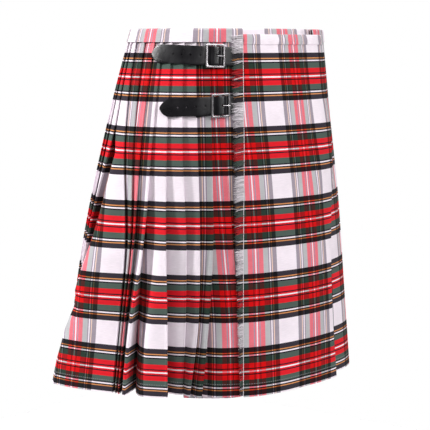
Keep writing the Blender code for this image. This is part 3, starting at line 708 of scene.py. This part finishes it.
def pleat_row(z):
    """Middle line of the pleats at one height, and the run of each span."""
    tips, depth, proud, flat = fold_places(z)
    reveal = np.diff(tips)
    hidden = by_height(z, TABLE_HEIGHTS, HIDDEN)
    low = ease(-z, 0.15, 0.5)
    top = np.array([[s, tip_centre(z, s / girth(z))] for s in tips])
    top[:, 1] += proud
    top[CORNER_FACE + 1, 1] += CORNER_LIFT * slot_share(z)
    deep = [np.array([tips[0] + hidden * reveal[0], top[0, 1] - depth[0]])]
    for i in range(len(tips) - 1):
        nearest = min(reveal[i], reveal[min(i + 1, len(reveal) - 1)])
        gaping = slot_share(z) if i == CORNER_FACE else 0.0
        under = hidden * nearest * (1 - gaping) - CORNER_GAPE * gaping
        deep.append(np.array([tips[i + 1] + under, top[i + 1, 1] - depth[i]]))
    begin = deep[0] + FIRST_FACE * (top[0] - [reveal[0], 0] - deep[0])
    line, run = [begin + [0, FOLD]], []

    def add(points, start, away):
        """Lay points; their run starts at `start` mm and grows or falls."""
        here = start
        for p in points:
            step = np.linalg.norm(p - line[-1])
            run.append((here, here + away * step))
            here += away * step
            line.append(p)
        return here

    start = PLEAT_STARTS[0] / 1000
    back_length = np.linalg.norm(top[0] - deep[0])
    add(bend(deep[0], unit(deep[0] - begin), 1), start - back_length - 0.02, 1)
    for i, tip in enumerate(top):
        start = PLEAT_STARTS[i % len(PLEAT_STARTS)] / 1000
        back = unit(tip - deep[i])
        length_back = np.linalg.norm(tip - deep[i])
        first = tip + FOLD * np.array([-back[1], back[0]])
        mid = 0.5 * (line[-1] + first) - [0.0, 0.0006 * low]
        add([mid], start - length_back, 1)
        add(bend(tip, back, -1), start - 0.5 * length_back, 1)
        if i + 1 < len(top):
            face, heading = face_points(z, line[-1], deep[i + 1], flat[i], i == CORNER_FACE)
            here = add(face, start, 1)
            add(bend(deep[i + 1], heading, 1), here, 1)
    # the tail runs on, smooth, to under the over-apron's folded edge
    end = (1 + TAIL_END + by_height(z, EDGE_HEIGHTS, FOLDED_EDGE)) * girth(z)
    tail = np.array([end, TAIL_N - TAIL_SINK * ease(-z, 0.28, 0.60)])
    add([line[-1] + (tail - line[-1]) * t for t in np.linspace(0, 1, 11)[1:]], TAIL_START, 1)
    return np.array(line), np.array(run)


class KILT_OT_pleats(bpy.types.Operator):
    """Fold the pleated length, from the fringed edge round the back"""
    bl_idname = "kilt.pleats"
    bl_label = "Pleats"

    def execute(self, context):
        heights = np.concatenate([np.linspace(CLOTH_TOP, FELL, 13),
                                  np.linspace(FELL, -DROP - HEM_TURN, 28)[1:]])
        points, runs = [], []
        for z in heights:
            line, run = pleat_row(z)
            points.append(spot(angle_at(z, line[:, 0]), z, line[:, 1]))
            runs.append(run)
        points = np.array(points)
        piece = shell("pleated_length", points, np.array(runs),
                      context.scene.kilt_sizes.pleat_cloth)
        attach(piece, "root")
        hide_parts("pleats")
        return {"FINISHED"}


# ============================================================== aprons
def apron_run(z, s):
    """Cloth run of the over-apron at arc s, 0 at a middle white line."""
    near, far = (by_height(z, WARP_HEIGHTS, row) / 1000 for row in WARP_LINES)
    return (s - near) * SETT_REPEAT / (far - near)


class KILT_OT_over_apron(bpy.types.Operator):
    """Lay the over-apron across the front and turn its left edge under"""
    bl_idname = "kilt.over_apron"
    bl_label = "Over-apron"

    def execute(self, context):
        shares = np.linspace(0, 1, 44) ** 0.95
        heights = APRON_TOP - APRON_INSET + shares * (-DROP - HEM_TURN - APRON_TOP + APRON_INSET)
        points, runs = [], []
        for z in heights:
            left = by_height(z, EDGE_HEIGHTS, FOLDED_EDGE)
            right = by_height(z, EDGE_HEIGHTS, FRINGED_EDGE)
            q = left + (right - left) * np.linspace(0, 1, 96)
            low = ease(-z, 0.12, 0.55)
            ripple = 0.0007 * low * np.sin(70 * q + 5.0 * z) * (1 - near_fringe(z, q))
            ripple += 0.0010 * low * np.sin(190 * (q - left)) * np.exp(-(q - left) / 0.018)
            n = over_apron_n(z, q) + ripple
            front = np.stack([q * girth(z), n], 1)
            run = apron_run(z, front[:, 0])
            turns = np.radians(np.linspace(0, 180, 6)[1:])
            centre = front[0] - [0, FOLD]
            fold = np.array([centre + FOLD * np.array([-np.sin(a), np.cos(a)]) for a in turns])
            under = np.array([fold[-1] + [s, 0] for s in TURNED_UNDER])
            back = np.vstack([fold, under])
            steps = np.linalg.norm(np.diff(np.vstack([front[:1], back]), axis=0), axis=1)
            back_run = run[0] - np.cumsum(steps)
            line = np.vstack([back[::-1], front])
            points.append(spot(angle_at(z, line[:, 0]), z, line[:, 1]))
            runs.append(np.concatenate([back_run[::-1], run]))
        points, runs = np.array(points), np.array(runs)
        piece = shell("over_apron_cloth", points, spans(runs), context.scene.kilt_sizes.apron_cloth)
        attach(piece, "root")
        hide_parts("over_apron")
        return {"FINISHED"}


class KILT_OT_under_apron(bpy.types.Operator):
    """Lay the under-apron inside, from the left hip to under the pleats"""
    bl_idname = "kilt.under_apron"
    bl_label = "Under-apron"

    def execute(self, context):
        points, runs = [], []
        rows = 34
        for k, z in enumerate(np.linspace(CLOTH_TOP, -DROP, rows)):
            left = by_height(z, EDGE_HEIGHTS, FOLDED_EDGE)
            q = np.linspace(left - UNDER_APRON_PAST, UNDER_APRON_END, 100)
            n = under_apron_n(z, q)
            wave = 0.0012 * ease(-z, 0.15, 0.6) * np.sin(58 * q + 2.0) * (1 - near_fringe(z, q))
            drop = (0.009 * ease(q, 0.06, 0.12) - 0.003 * ease(-q, 0, 0.1)) * (k / (rows - 1)) ** 8
            s = q * girth(z)
            points.append(spot(angle_at(z, s), z - drop, n + wave * (1 - near_fold(z, q))))
            runs.append(s - 0.040)
        points, runs = np.array(points), np.array(runs)
        piece = shell("under_apron_cloth", points, spans(runs),
                      context.scene.kilt_sizes.apron_cloth)
        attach(piece, "root")
        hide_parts("under_apron")
        return {"FINISHED"}


# ============================================================== waistbands
def band_grid(q, outer_n, inner_n, top, bottom, pucker):
    """Points of a strip folded over the top edge, from inside to outside."""
    half = (outer_n - inner_n) / 2
    centre = (outer_n + inner_n) / 2
    round_top = np.minimum(half, 0.0012)
    shoulder = top - 0.0014
    rows = []
    for share in (1.0, 0.75, 0.5, 0.25, 0.08):
        rows.append((inner_n, shoulder - share * (shoulder - bottom)))
    for a in np.radians([160, 130, 90, 50, 20]):
        rows.append((centre + half * np.cos(a), shoulder + round_top * np.sin(a)))
    for share in (0.08, 0.22, 0.36, 0.50, 0.64, 0.78, 0.92, 1.0):
        swell = pucker * np.sin(np.pi * min(share / 0.94, 1.0))
        rows.append((outer_n + swell, shoulder - share * (shoulder - bottom)))
    n = np.array([np.broadcast_to(row[0], q.shape) for row in rows])
    z = np.array([np.broadcast_to(row[1], q.shape) for row in rows])
    phi = angle_at(0.0, q * girth(0.0))
    return spot(np.broadcast_to(phi, n.shape), z, n)


class KILT_OT_waistband(bpy.types.Operator):
    """Bind the pleats' and the under-apron's top edge with a straight strip"""
    bl_idname = "kilt.waistband"
    bl_label = "Waistband"

    def execute(self, context):
        left = FOLDED_EDGE[0]
        q = np.linspace(left - BAND_PAST, BAND_END, 420)
        over_pleats = -2.3 + 2.7 * near_fringe(0.0, q) - 1.8 * ease(q, 0.87, 0.90)
        outer_n = (over_pleats - 1.0 - 9.5 * near_fold(0.0, q)) / 1000
        inner_n = (-6.3 - 5.1 * near_fringe(0.0, q) - 9.4 * near_fold(0.0, q)) / 1000
        # both ends are pressed shut
        open_share = 0.4 + 0.6 * ease(np.minimum(q - q[0], q[-1] - q), 0.0, 0.005)
        centre, half = (outer_n + inner_n) / 2, (outer_n - inner_n) / 2
        outer_n, inner_n = centre + half * open_share, centre - half * open_share
        pucker = 0.00025 * np.sin(310 * q) * (1 + 0.5 * np.sin(83 * q))
        points = band_grid(q, outer_n, inner_n, 0.0, -BAND_HEIGHT, pucker)
        s = q * girth(0.0)
        lines = np.array(BAND_LINES) / 1000
        run = np.interp(s, lines, SETT_REPEAT * np.arange(len(lines))[::-1])
        run = np.where(s > lines[-1], lines[-1] - s, run)
        runs = np.broadcast_to(run, points.shape[:2])
        piece = shell("waistband_strip", points, spans(runs), context.scene.kilt_sizes.band_cloth)
        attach(piece, "root")
        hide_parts("waistband")
        return {"FINISHED"}


class KILT_OT_apron_waistband(bpy.types.Operator):
    """Bind the over-apron's top edge; the strip is eased on and puckers"""
    bl_idname = "kilt.apron_waistband"
    bl_label = "Apron waistband"

    def execute(self, context):
        left, right = FOLDED_EDGE[0], FRINGED_EDGE[0]
        q = np.linspace(left - APRON_BAND_PAST, right, 220)
        middle = over_apron_n(0.0, q)
        under = ease(left + 0.045 - q, 0.0, 0.012)
        wave = np.sin(2 * np.pi * q * girth(0.0) / 0.0165 + 1.2 * np.sin(40 * q))
        points = band_grid(q, middle + 0.0014, middle - 0.0014 - 0.0016 * under,
                           APRON_TOP, APRON_BAND_BOTTOM, 0.00055 * (1 + wave))
        s = q * girth(0.0)
        run = apron_run(-0.02, s)
        runs = np.repeat(run[None], len(points), 0)
        share = np.clip((APRON_TOP - points[..., 2]) / (APRON_TOP - APRON_BAND_BOTTOM), 0, 1)
        runs = runs + 0.0018 + 0.0011 * wave * np.sin(np.pi * share)
        piece = shell("apron_waistband_strip", points, spans(runs),
                      context.scene.kilt_sizes.band_cloth)
        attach(piece, "root")
        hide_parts("apron_waistband")
        return {"FINISHED"}


# ============================================================== fringe
class KILT_OT_fringe(bpy.types.Operator):
    """Leave the weft yarns loose down the over-apron's right edge"""
    bl_idname = "kilt.fringe"
    bl_label = "Fringe"

    def execute(self, context):
        sizes = context.scene.kilt_sizes
        random = np.random.default_rng(7)
        count = sizes.yarns
        heights = np.linspace(APRON_TOP - 0.001, -DROP + 0.004, count)
        lengths = smooth(-heights, (0.0, 0.25, 0.42, 0.52, 0.60),
                         (sizes.fringe_root, 0.9 * sizes.fringe_root,
                          0.6 * sizes.fringe_root, 1.4 * sizes.fringe_hem,
                          sizes.fringe_hem))
        near = over_apron_n(0.0, FRINGED_EDGE[0])
        rings, faces, first, places = [], [], 0, []
        share = np.array([0.0, 0.15, 0.35, 0.6, 0.82, 1.0])
        for k, z in enumerate(heights):
            if k % YARNS_PER_LOCK == 0:
                clump = z - 0.003 + 0.002 * random.standard_normal()
                lean = random.normal(0.0, 0.0015)
            long = lengths[k] * (0.82 + 0.3 * random.random())
            gather = 0.35 * share ** 1.6
            fall = (0.02 + 0.16 * random.random()) * long
            wobble = 0.0007 * np.sin(6 * share + random.uniform(0, 6.3)) * share
            zz = z * (1 - gather) + clump * gather - fall * share ** 1.5 + wobble
            edge = by_height(z, EDGE_HEIGHTS, FRINGED_EDGE) * girth(z)
            s = edge + 0.0003 + long * share + wobble
            n = (near + 0.0003 * random.standard_normal() + (0.0012 + lean) * share ** 2
                 + 0.0008 * np.sin(5 * share + random.uniform(0, 6.3)) * share)
            n = np.clip(n, near - 0.0009 * (1 - share), FRINGE_FRONT)
            points = spot(angle_at(z, s), zz, n)
            radii = YARN_RADIUS * np.array([1.0, 1.1, 1.0, 0.95, 0.8, 0.35])
            before = len(faces)
            first = tube(points, radii, 3, first, faces, rings)
            # the map's first number sets how far this yarn is darkened: partly painted shade among
            # the crowded yarns, partly random tone
            places += [(0.30 + 0.70 * random.random(), z - WEFT_CENTRE)] * (
                4 * (len(faces) - before))
        # the last warp threads, which the yarns are held by
        z = np.linspace(APRON_TOP - 0.001, -DROP + 0.001, 160)
        edge = np.array([by_height(v, EDGE_HEIGHTS, FRINGED_EDGE) * girth(v) for v in z])
        points = np.array([spot(angle_at(v, s + 0.0006), v, near + 0.0003)
                           for v, s in zip(z, edge)])
        before = len(faces)
        tube(points, np.full(160, 0.0005), 6, first, faces, rings)
        # a first number of 1.0 leaves these threads at their full colour, with no painted shade
        places += [(1.0, 0.050)] * (4 * (len(faces) - before))
        piece = mesh_piece("fringe_yarns", np.concatenate(rings), faces,
                           material("unravelled_worsted_yarn"))
        map_cloth(piece, places)
        soften(piece, 130)
        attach(piece, "root")
        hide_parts("fringe")
        return {"FINISHED"}


# ============================================================== straps
STRAP_SHAPE = ((-0.0700, -0.2), (-0.0340, -0.2), (-0.0115, -0.2), (-0.0085, 0.7),
               (-0.0042, 4.4), (0.0, 5.0), (0.0042, 4.5), (0.0085, 2.0),
               (0.0110, 1.1), (0.0220, 1.1), (0.0390, 1.1), (0.0470, -0.2),
               (0.1200, -0.2))


def lay_on_hip(piece, strap, base):
    """Move a flat piece (x along, y up, z off the cloth) onto the hip.

    base(x) gives the middle line's n and slope, so walls keep their width.
    """
    _, height, _, _, at, tilt = strap
    count = len(piece.data.vertices)
    flat = np.empty(count * 3)
    piece.data.vertices.foreach_get("co", flat)
    x, y, z = flat.reshape(-1, 3).T
    n, slope = base(x)
    lean = np.arctan(slope)
    s = at + x - z * np.sin(lean)
    points = spot(angle_at(height, s), height + tilt * (s - at) + y, n + z * np.cos(lean))
    piece.data.vertices.foreach_set("co", points.reshape(-1))
    # arcs grow towards -X, so the flat piece comes out mirrored
    only(piece)
    bpy.ops.object.mode_set(mode="EDIT")
    bpy.ops.mesh.select_all(action="SELECT")
    bpy.ops.mesh.flip_normals()
    bpy.ops.object.mode_set(mode="OBJECT")


def strap_base(x):
    places = np.array([p for p, _ in STRAP_SHAPE])
    values = np.array([v for _, v in STRAP_SHAPE]) / 1000
    return smooth(x, places, values), (smooth(x + 1e-4, places, values)
                                       - smooth(x - 1e-4, places, values)) / 2e-4


def apply(piece, kind, **settings):
    only(piece)
    change = piece.modifiers.new(kind.lower(), kind)
    for key, value in settings.items():
        setattr(change, key, value)
    bpy.ops.object.modifier_apply(modifier=change.name)


def flat_strip(name, start, end, width, columns, rows=8):
    """A flat strip from a grid, x from start to end, y across."""
    bpy.ops.object.select_all(action="DESELECT")
    bpy.ops.mesh.primitive_grid_add(x_subdivisions=columns, y_subdivisions=rows, size=2)
    piece = bpy.context.object
    piece.name = piece.data.name = name
    bpy.ops.object.mode_set(mode="EDIT")
    bpy.ops.transform.resize(value=((end - start) / 2, width / 2, 1))
    bpy.ops.transform.translate(value=((end + start) / 2, 0, 0))
    bpy.ops.object.mode_set(mode="OBJECT")
    return piece


def cut_away(piece, cutter):
    """Cut one piece out of another, and drop the cutter."""
    apply(piece, "BOOLEAN", operation="DIFFERENCE", solver="EXACT", object=cutter)
    bpy.data.objects.remove(cutter)


def round_edges(piece, width, segments, degrees):
    """Bevel the edges that are sharper than an angle."""
    apply(piece, "BEVEL", width=width, segments=segments, limit_method="ANGLE",
          angle_limit=math.radians(degrees))


def pick(piece, kind, chosen):
    """Enter edit mode with only the faces or points that `chosen` accepts."""
    bpy.ops.object.mode_set(mode="EDIT")
    bpy.ops.mesh.select_mode(type=kind)
    bpy.ops.mesh.select_all(action="DESELECT")
    bpy.ops.object.mode_set(mode="OBJECT")
    for part in piece.data.polygons if kind == "FACE" else piece.data.vertices:
        part.select = chosen(part)
    bpy.ops.object.mode_set(mode="EDIT")


class KILT_OT_straps(bpy.types.Operator):
    """Cut, punch and lay the two leather straps and their buckle tabs"""
    bl_idname = "kilt.straps"
    bl_label = "Straps"

    def execute(self, context):
        sizes = context.scene.kilt_sizes
        for strap in STRAPS:
            name, _, tip, root, at, _ = strap
            body = flat_strip("hip_strap_" + name, root - at, tip - at, STRAP_WIDTH, 110)
            # round the free end to a blunt point
            for vertex in body.data.vertices:
                left = min(max((tip - at - vertex.co.x) / TIP_LENGTH, 0), 1)
                vertex.co.y *= max((left * (2 - left)) ** 0.7, 0.12)
            apply(body, "SOLIDIFY", thickness=sizes.strap_wall, offset=0)
            for k in range(HOLES):
                bpy.ops.object.select_all(action="DESELECT")
                bpy.ops.mesh.primitive_cylinder_add(
                    vertices=16, radius=sizes.hole, depth=0.02,
                    location=(FIRST_HOLE + HOLE_PITCH * k, 0, 0))
                cut_away(body, bpy.context.object)
            place, long, wide = PRONG_SLOT
            bpy.ops.object.select_all(action="DESELECT")
            bpy.ops.mesh.primitive_cube_add(size=1, location=(place, 0, 0),
                                            scale=(long, wide, 0.02))
            cut_away(body, bpy.context.object)
            round_edges(body, 0.00045, 3, 50)
            lay_on_hip(body, strap, strap_base)
            body.data.materials.append(material("waxed_bridle_leather"))
            soften(body, 45)
            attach(body, "root")
            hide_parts("strap_" + name)

            tab = flat_strip("buckle_tab_" + name, 0.0, *TAB_SIZE, 40, 6)
            apply(tab, "SOLIDIFY", thickness=TAB_WALL, offset=0)
            round_edges(tab, 0.0003, 2, 50)
            for vertex in tab.data.vertices:
                vertex.co.y -= TAB_DROP[0] + TAB_DROP[1] * vertex.co.x / TAB_SIZE[0]
            lay_on_hip(tab, strap, lambda x: (np.full_like(x, -0.0007), np.zeros_like(x)))
            tab.data.materials.append(material("waxed_bridle_leather"))
            soften(tab, 45)
            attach(tab, "root")
            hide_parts("chape_" + name)
        return {"FINISHED"}


# ============================================================== buckles
class KILT_OT_buckles(bpy.types.Operator):
    """Cut the buckle frames, round their bars and coil on the prongs"""
    bl_idname = "kilt.buckles"
    bl_label = "Buckles"

    def frame_piece(self, name):
        """Flat buckle frame: three bars between two rails."""
        piece = flat_strip(name, -1, 1, 2, 5, 3)
        half = BUCKLE_BAR / 2
        inner = STRAP_WIDTH / 2 + 0.0009
        xs = (-BUCKLE_HALF - half, -BUCKLE_HALF + half, -half, half,
              BUCKLE_HALF - half, BUCKLE_HALF + half)
        ys = (-inner - BUCKLE_BAR, -inner, inner, inner + BUCKLE_BAR)
        for vertex in piece.data.vertices:
            column = round((vertex.co.x + 1) * 2.5)
            row = round((vertex.co.y + 1) * 1.5)
            vertex.co.x, vertex.co.y = xs[column], ys[row]
        # the two openings, either side of the centre bar
        pick(piece, "FACE", lambda face: abs(face.center.y) < inner / 2
             and half < abs(face.center.x) < BUCKLE_HALF - half)
        bpy.ops.mesh.delete(type="FACE")
        # the four outer corners
        pick(piece, "VERT", lambda vertex: abs(vertex.co.x) > BUCKLE_HALF
             and abs(vertex.co.y) > inner + half)
        bpy.ops.mesh.bevel(affect="VERTICES", offset=0.0026, segments=4)
        bpy.ops.mesh.select_all(action="SELECT")
        bpy.ops.mesh.subdivide(number_cuts=2)
        bpy.ops.object.mode_set(mode="OBJECT")
        apply(piece, "SOLIDIFY", thickness=BUCKLE_WIRE, offset=0)
        round_edges(piece, 0.0009, 4, 60)
        return piece

    def prong_piece(self, name):
        """Wire bent round the centre bar, running to the right bar."""
        bpy.ops.object.select_all(action="DESELECT")
        start = Vector((PRONG_PATH[0][0], 0, PRONG_PATH[0][1]))
        bpy.ops.mesh.primitive_circle_add(vertices=10, radius=PRONG_RADIUS,
                                          fill_type="NGON", location=start)
        piece = bpy.context.object
        piece.name = piece.data.name = name
        bpy.ops.object.mode_set(mode="EDIT")
        bpy.ops.mesh.select_all(action="SELECT")
        path = [Vector((x, 0, z)) for x, z in PRONG_PATH[1:]]
        here, heading = start, Vector((0, 0, -1))
        for k, there in enumerate(path):
            turn = (there - here).normalized()
            bpy.ops.mesh.extrude_region_move(TRANSFORM_OT_translate={"value": tuple(there - here)})
            if k + 1 < len(path):
                turn = (turn + (path[k + 1] - there).normalized()).normalized()
            angle = math.asin(max(-1, min(1, heading.cross(turn).y)))
            bpy.ops.transform.rotate(value=-angle, orient_axis="Y", center_override=tuple(there))
            if k >= PRONG_TAPERS_AT:
                bpy.ops.transform.resize(value=(PRONG_TAPER,) * 3, center_override=tuple(there))
            here, heading = there, turn
        bpy.ops.mesh.select_all(action="SELECT")
        bpy.ops.mesh.normals_make_consistent(inside=False)
        bpy.ops.object.mode_set(mode="OBJECT")
        place = piece.location.copy()
        for vertex in piece.data.vertices:
            vertex.co += place
        piece.location = (0, 0, 0)
        apply(piece, "SUBSURF", levels=1, render_levels=1)
        return piece

    def execute(self, context):
        def bars(x):
            places = (-BUCKLE_HALF, 0.0, BUCKLE_HALF)
            n = np.interp(x, places, (0.0023, 0.0012, 0.0036))
            return n, np.zeros_like(x)

        steel = material("nickel_plated_steel")
        frame_master = self.frame_piece("buckle_master")
        prong_master = self.prong_piece("prong_master")
        for strap in STRAPS:
            for master, name, base, node_name in (
                    (frame_master, "buckle_frame_", bars, "buckle_"),
                    (prong_master, "buckle_prong_",
                     lambda x: (np.zeros_like(x), np.zeros_like(x)), "prong_")):
                piece = bpy.data.objects.new(name + strap[0], master.data.copy())
                context.collection.objects.link(piece)
                lay_on_hip(piece, strap, base)
                piece.data.materials.append(steel)
                soften(piece, 50)
                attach(piece, "root")
                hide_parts(node_name + strap[0])
        for master in (frame_master, prong_master):
            bpy.data.objects.remove(master)
        return {"FINISHED"}


# ============================================================== the stage
def facing(turn, pitch):
    """Direction turned from +Y towards +X and pitched down, in degrees."""
    a, b = math.radians(turn), math.radians(pitch)
    return Vector((math.sin(a) * math.cos(b), math.cos(a) * math.cos(b), -math.sin(b)))


class KILT_OT_stage(bpy.types.Operator):
    """Set up the pale floor, the soft lights and the camera"""
    bl_idname = "kilt.stage"
    bl_label = "Stage"

    def put(self, data, place, aim):
        """Hang a lamp or the camera at a place, facing along aim."""
        thing = bpy.data.objects.new(data.name, data)
        thing.location = place
        thing.rotation_euler = aim.to_track_quat("-Z", "Y").to_euler()
        bpy.context.collection.objects.link(thing)
        return thing

    def execute(self, context):
        scene = context.scene
        scene.view_settings.view_transform = "Standard"
        bpy.ops.object.select_all(action="DESELECT")
        bpy.ops.mesh.primitive_plane_add(size=FLOOR_WIDTH, location=(0, 0, FLOOR_HEIGHT))
        floor = context.object
        floor.name = "studio_floor"
        floor.data.materials.append(material("matt_studio_paint"))

        # the backdrop is white, and the room round it a good deal dimmer
        world = bpy.data.worlds.new("studio_light")
        world.use_nodes = True
        tree = world.node_tree
        room = fill(tree, tree.nodes["Background"],
                    {"Color": (1.0, 0.985, 1.0, 1), "Strength": 0.10})
        backdrop = node(tree, "Background", {"Color": (1, 1, 1, 1), "Strength": 1.0})
        seen = node(tree, "LightPath")
        chosen = node(tree, "MixShader", {},
                      {0: seen.outputs["Is Camera Ray"], 1: room, 2: backdrop})
        fill(tree, tree.nodes["World Output"], {}, {"Surface": chosen})
        scene.world = world

        # far enough off to light the whole floor evenly
        for name, turn, height, spread, power in SUNS:
            light = bpy.data.lights.new(name, "SUN")
            light.angle = math.radians(spread)
            light.energy = power
            aim = facing(turn, height)
            self.put(light, -3 * aim, aim)

        # this one leaves the hem in less light
        light = bpy.data.lights.new("near_box", "AREA")
        light.size = 0.8
        light.energy = 8.6
        place = Vector(NEAR_BOX)
        self.put(light, place, Vector(NEAR_BOX_AIM) - place)

        camera = bpy.data.cameras.new("camera")
        camera.sensor_width = 36.0
        camera.lens = CAMERA_LENS
        camera.shift_x = CAMERA_SHIFT
        turn = math.radians(CAMERA_TURN)
        place = Vector((-CAMERA_AWAY * math.sin(turn), -CAMERA_AWAY * math.cos(turn),
                        CAMERA_HEIGHT))
        scene.camera = self.put(camera, place, facing(CAMERA_TURN, CAMERA_PITCH))
        return {"FINISHED"}


class KILT_PT_panel(bpy.types.Panel):
    """Buttons for each piece, with the sizes and colours"""
    bl_label = "Scottish kilt"
    bl_idname = "KILT_PT_panel"
    bl_space_type = "VIEW_3D"
    bl_region_type = "UI"
    bl_category = "Kilt"

    def draw(self, context):
        for operator in OPERATORS:
            self.layout.operator(operator.bl_idname)
        for group in (context.scene.kilt_sizes, context.scene.kilt_colours):
            box = self.layout.box()
            for name in group.__annotations__:
                box.prop(group, name)


OPERATORS = (KILT_OT_stage, KILT_OT_pleats, KILT_OT_over_apron, KILT_OT_under_apron,
             KILT_OT_waistband, KILT_OT_apron_waistband, KILT_OT_fringe,
             KILT_OT_straps, KILT_OT_buckles)
CLASSES = (KiltSizes, KiltColours, *OPERATORS, KILT_PT_panel)


def register():
    for cls in CLASSES:
        bpy.utils.register_class(cls)
    bpy.types.Scene.kilt_sizes = PointerProperty(type=KiltSizes)
    bpy.types.Scene.kilt_colours = PointerProperty(type=KiltColours)


def unregister():
    del bpy.types.Scene.kilt_sizes
    del bpy.types.Scene.kilt_colours
    for cls in reversed(CLASSES):
        bpy.utils.unregister_class(cls)


def main():
    register()
    bpy.ops.kilt.stage()
    bpy.ops.kilt.pleats()
    bpy.ops.kilt.over_apron()
    bpy.ops.kilt.under_apron()
    bpy.ops.kilt.waistband()
    bpy.ops.kilt.apron_waistband()
    bpy.ops.kilt.fringe()
    bpy.ops.kilt.straps()
    bpy.ops.kilt.buckles()


if __name__ == "__main__":
    main()
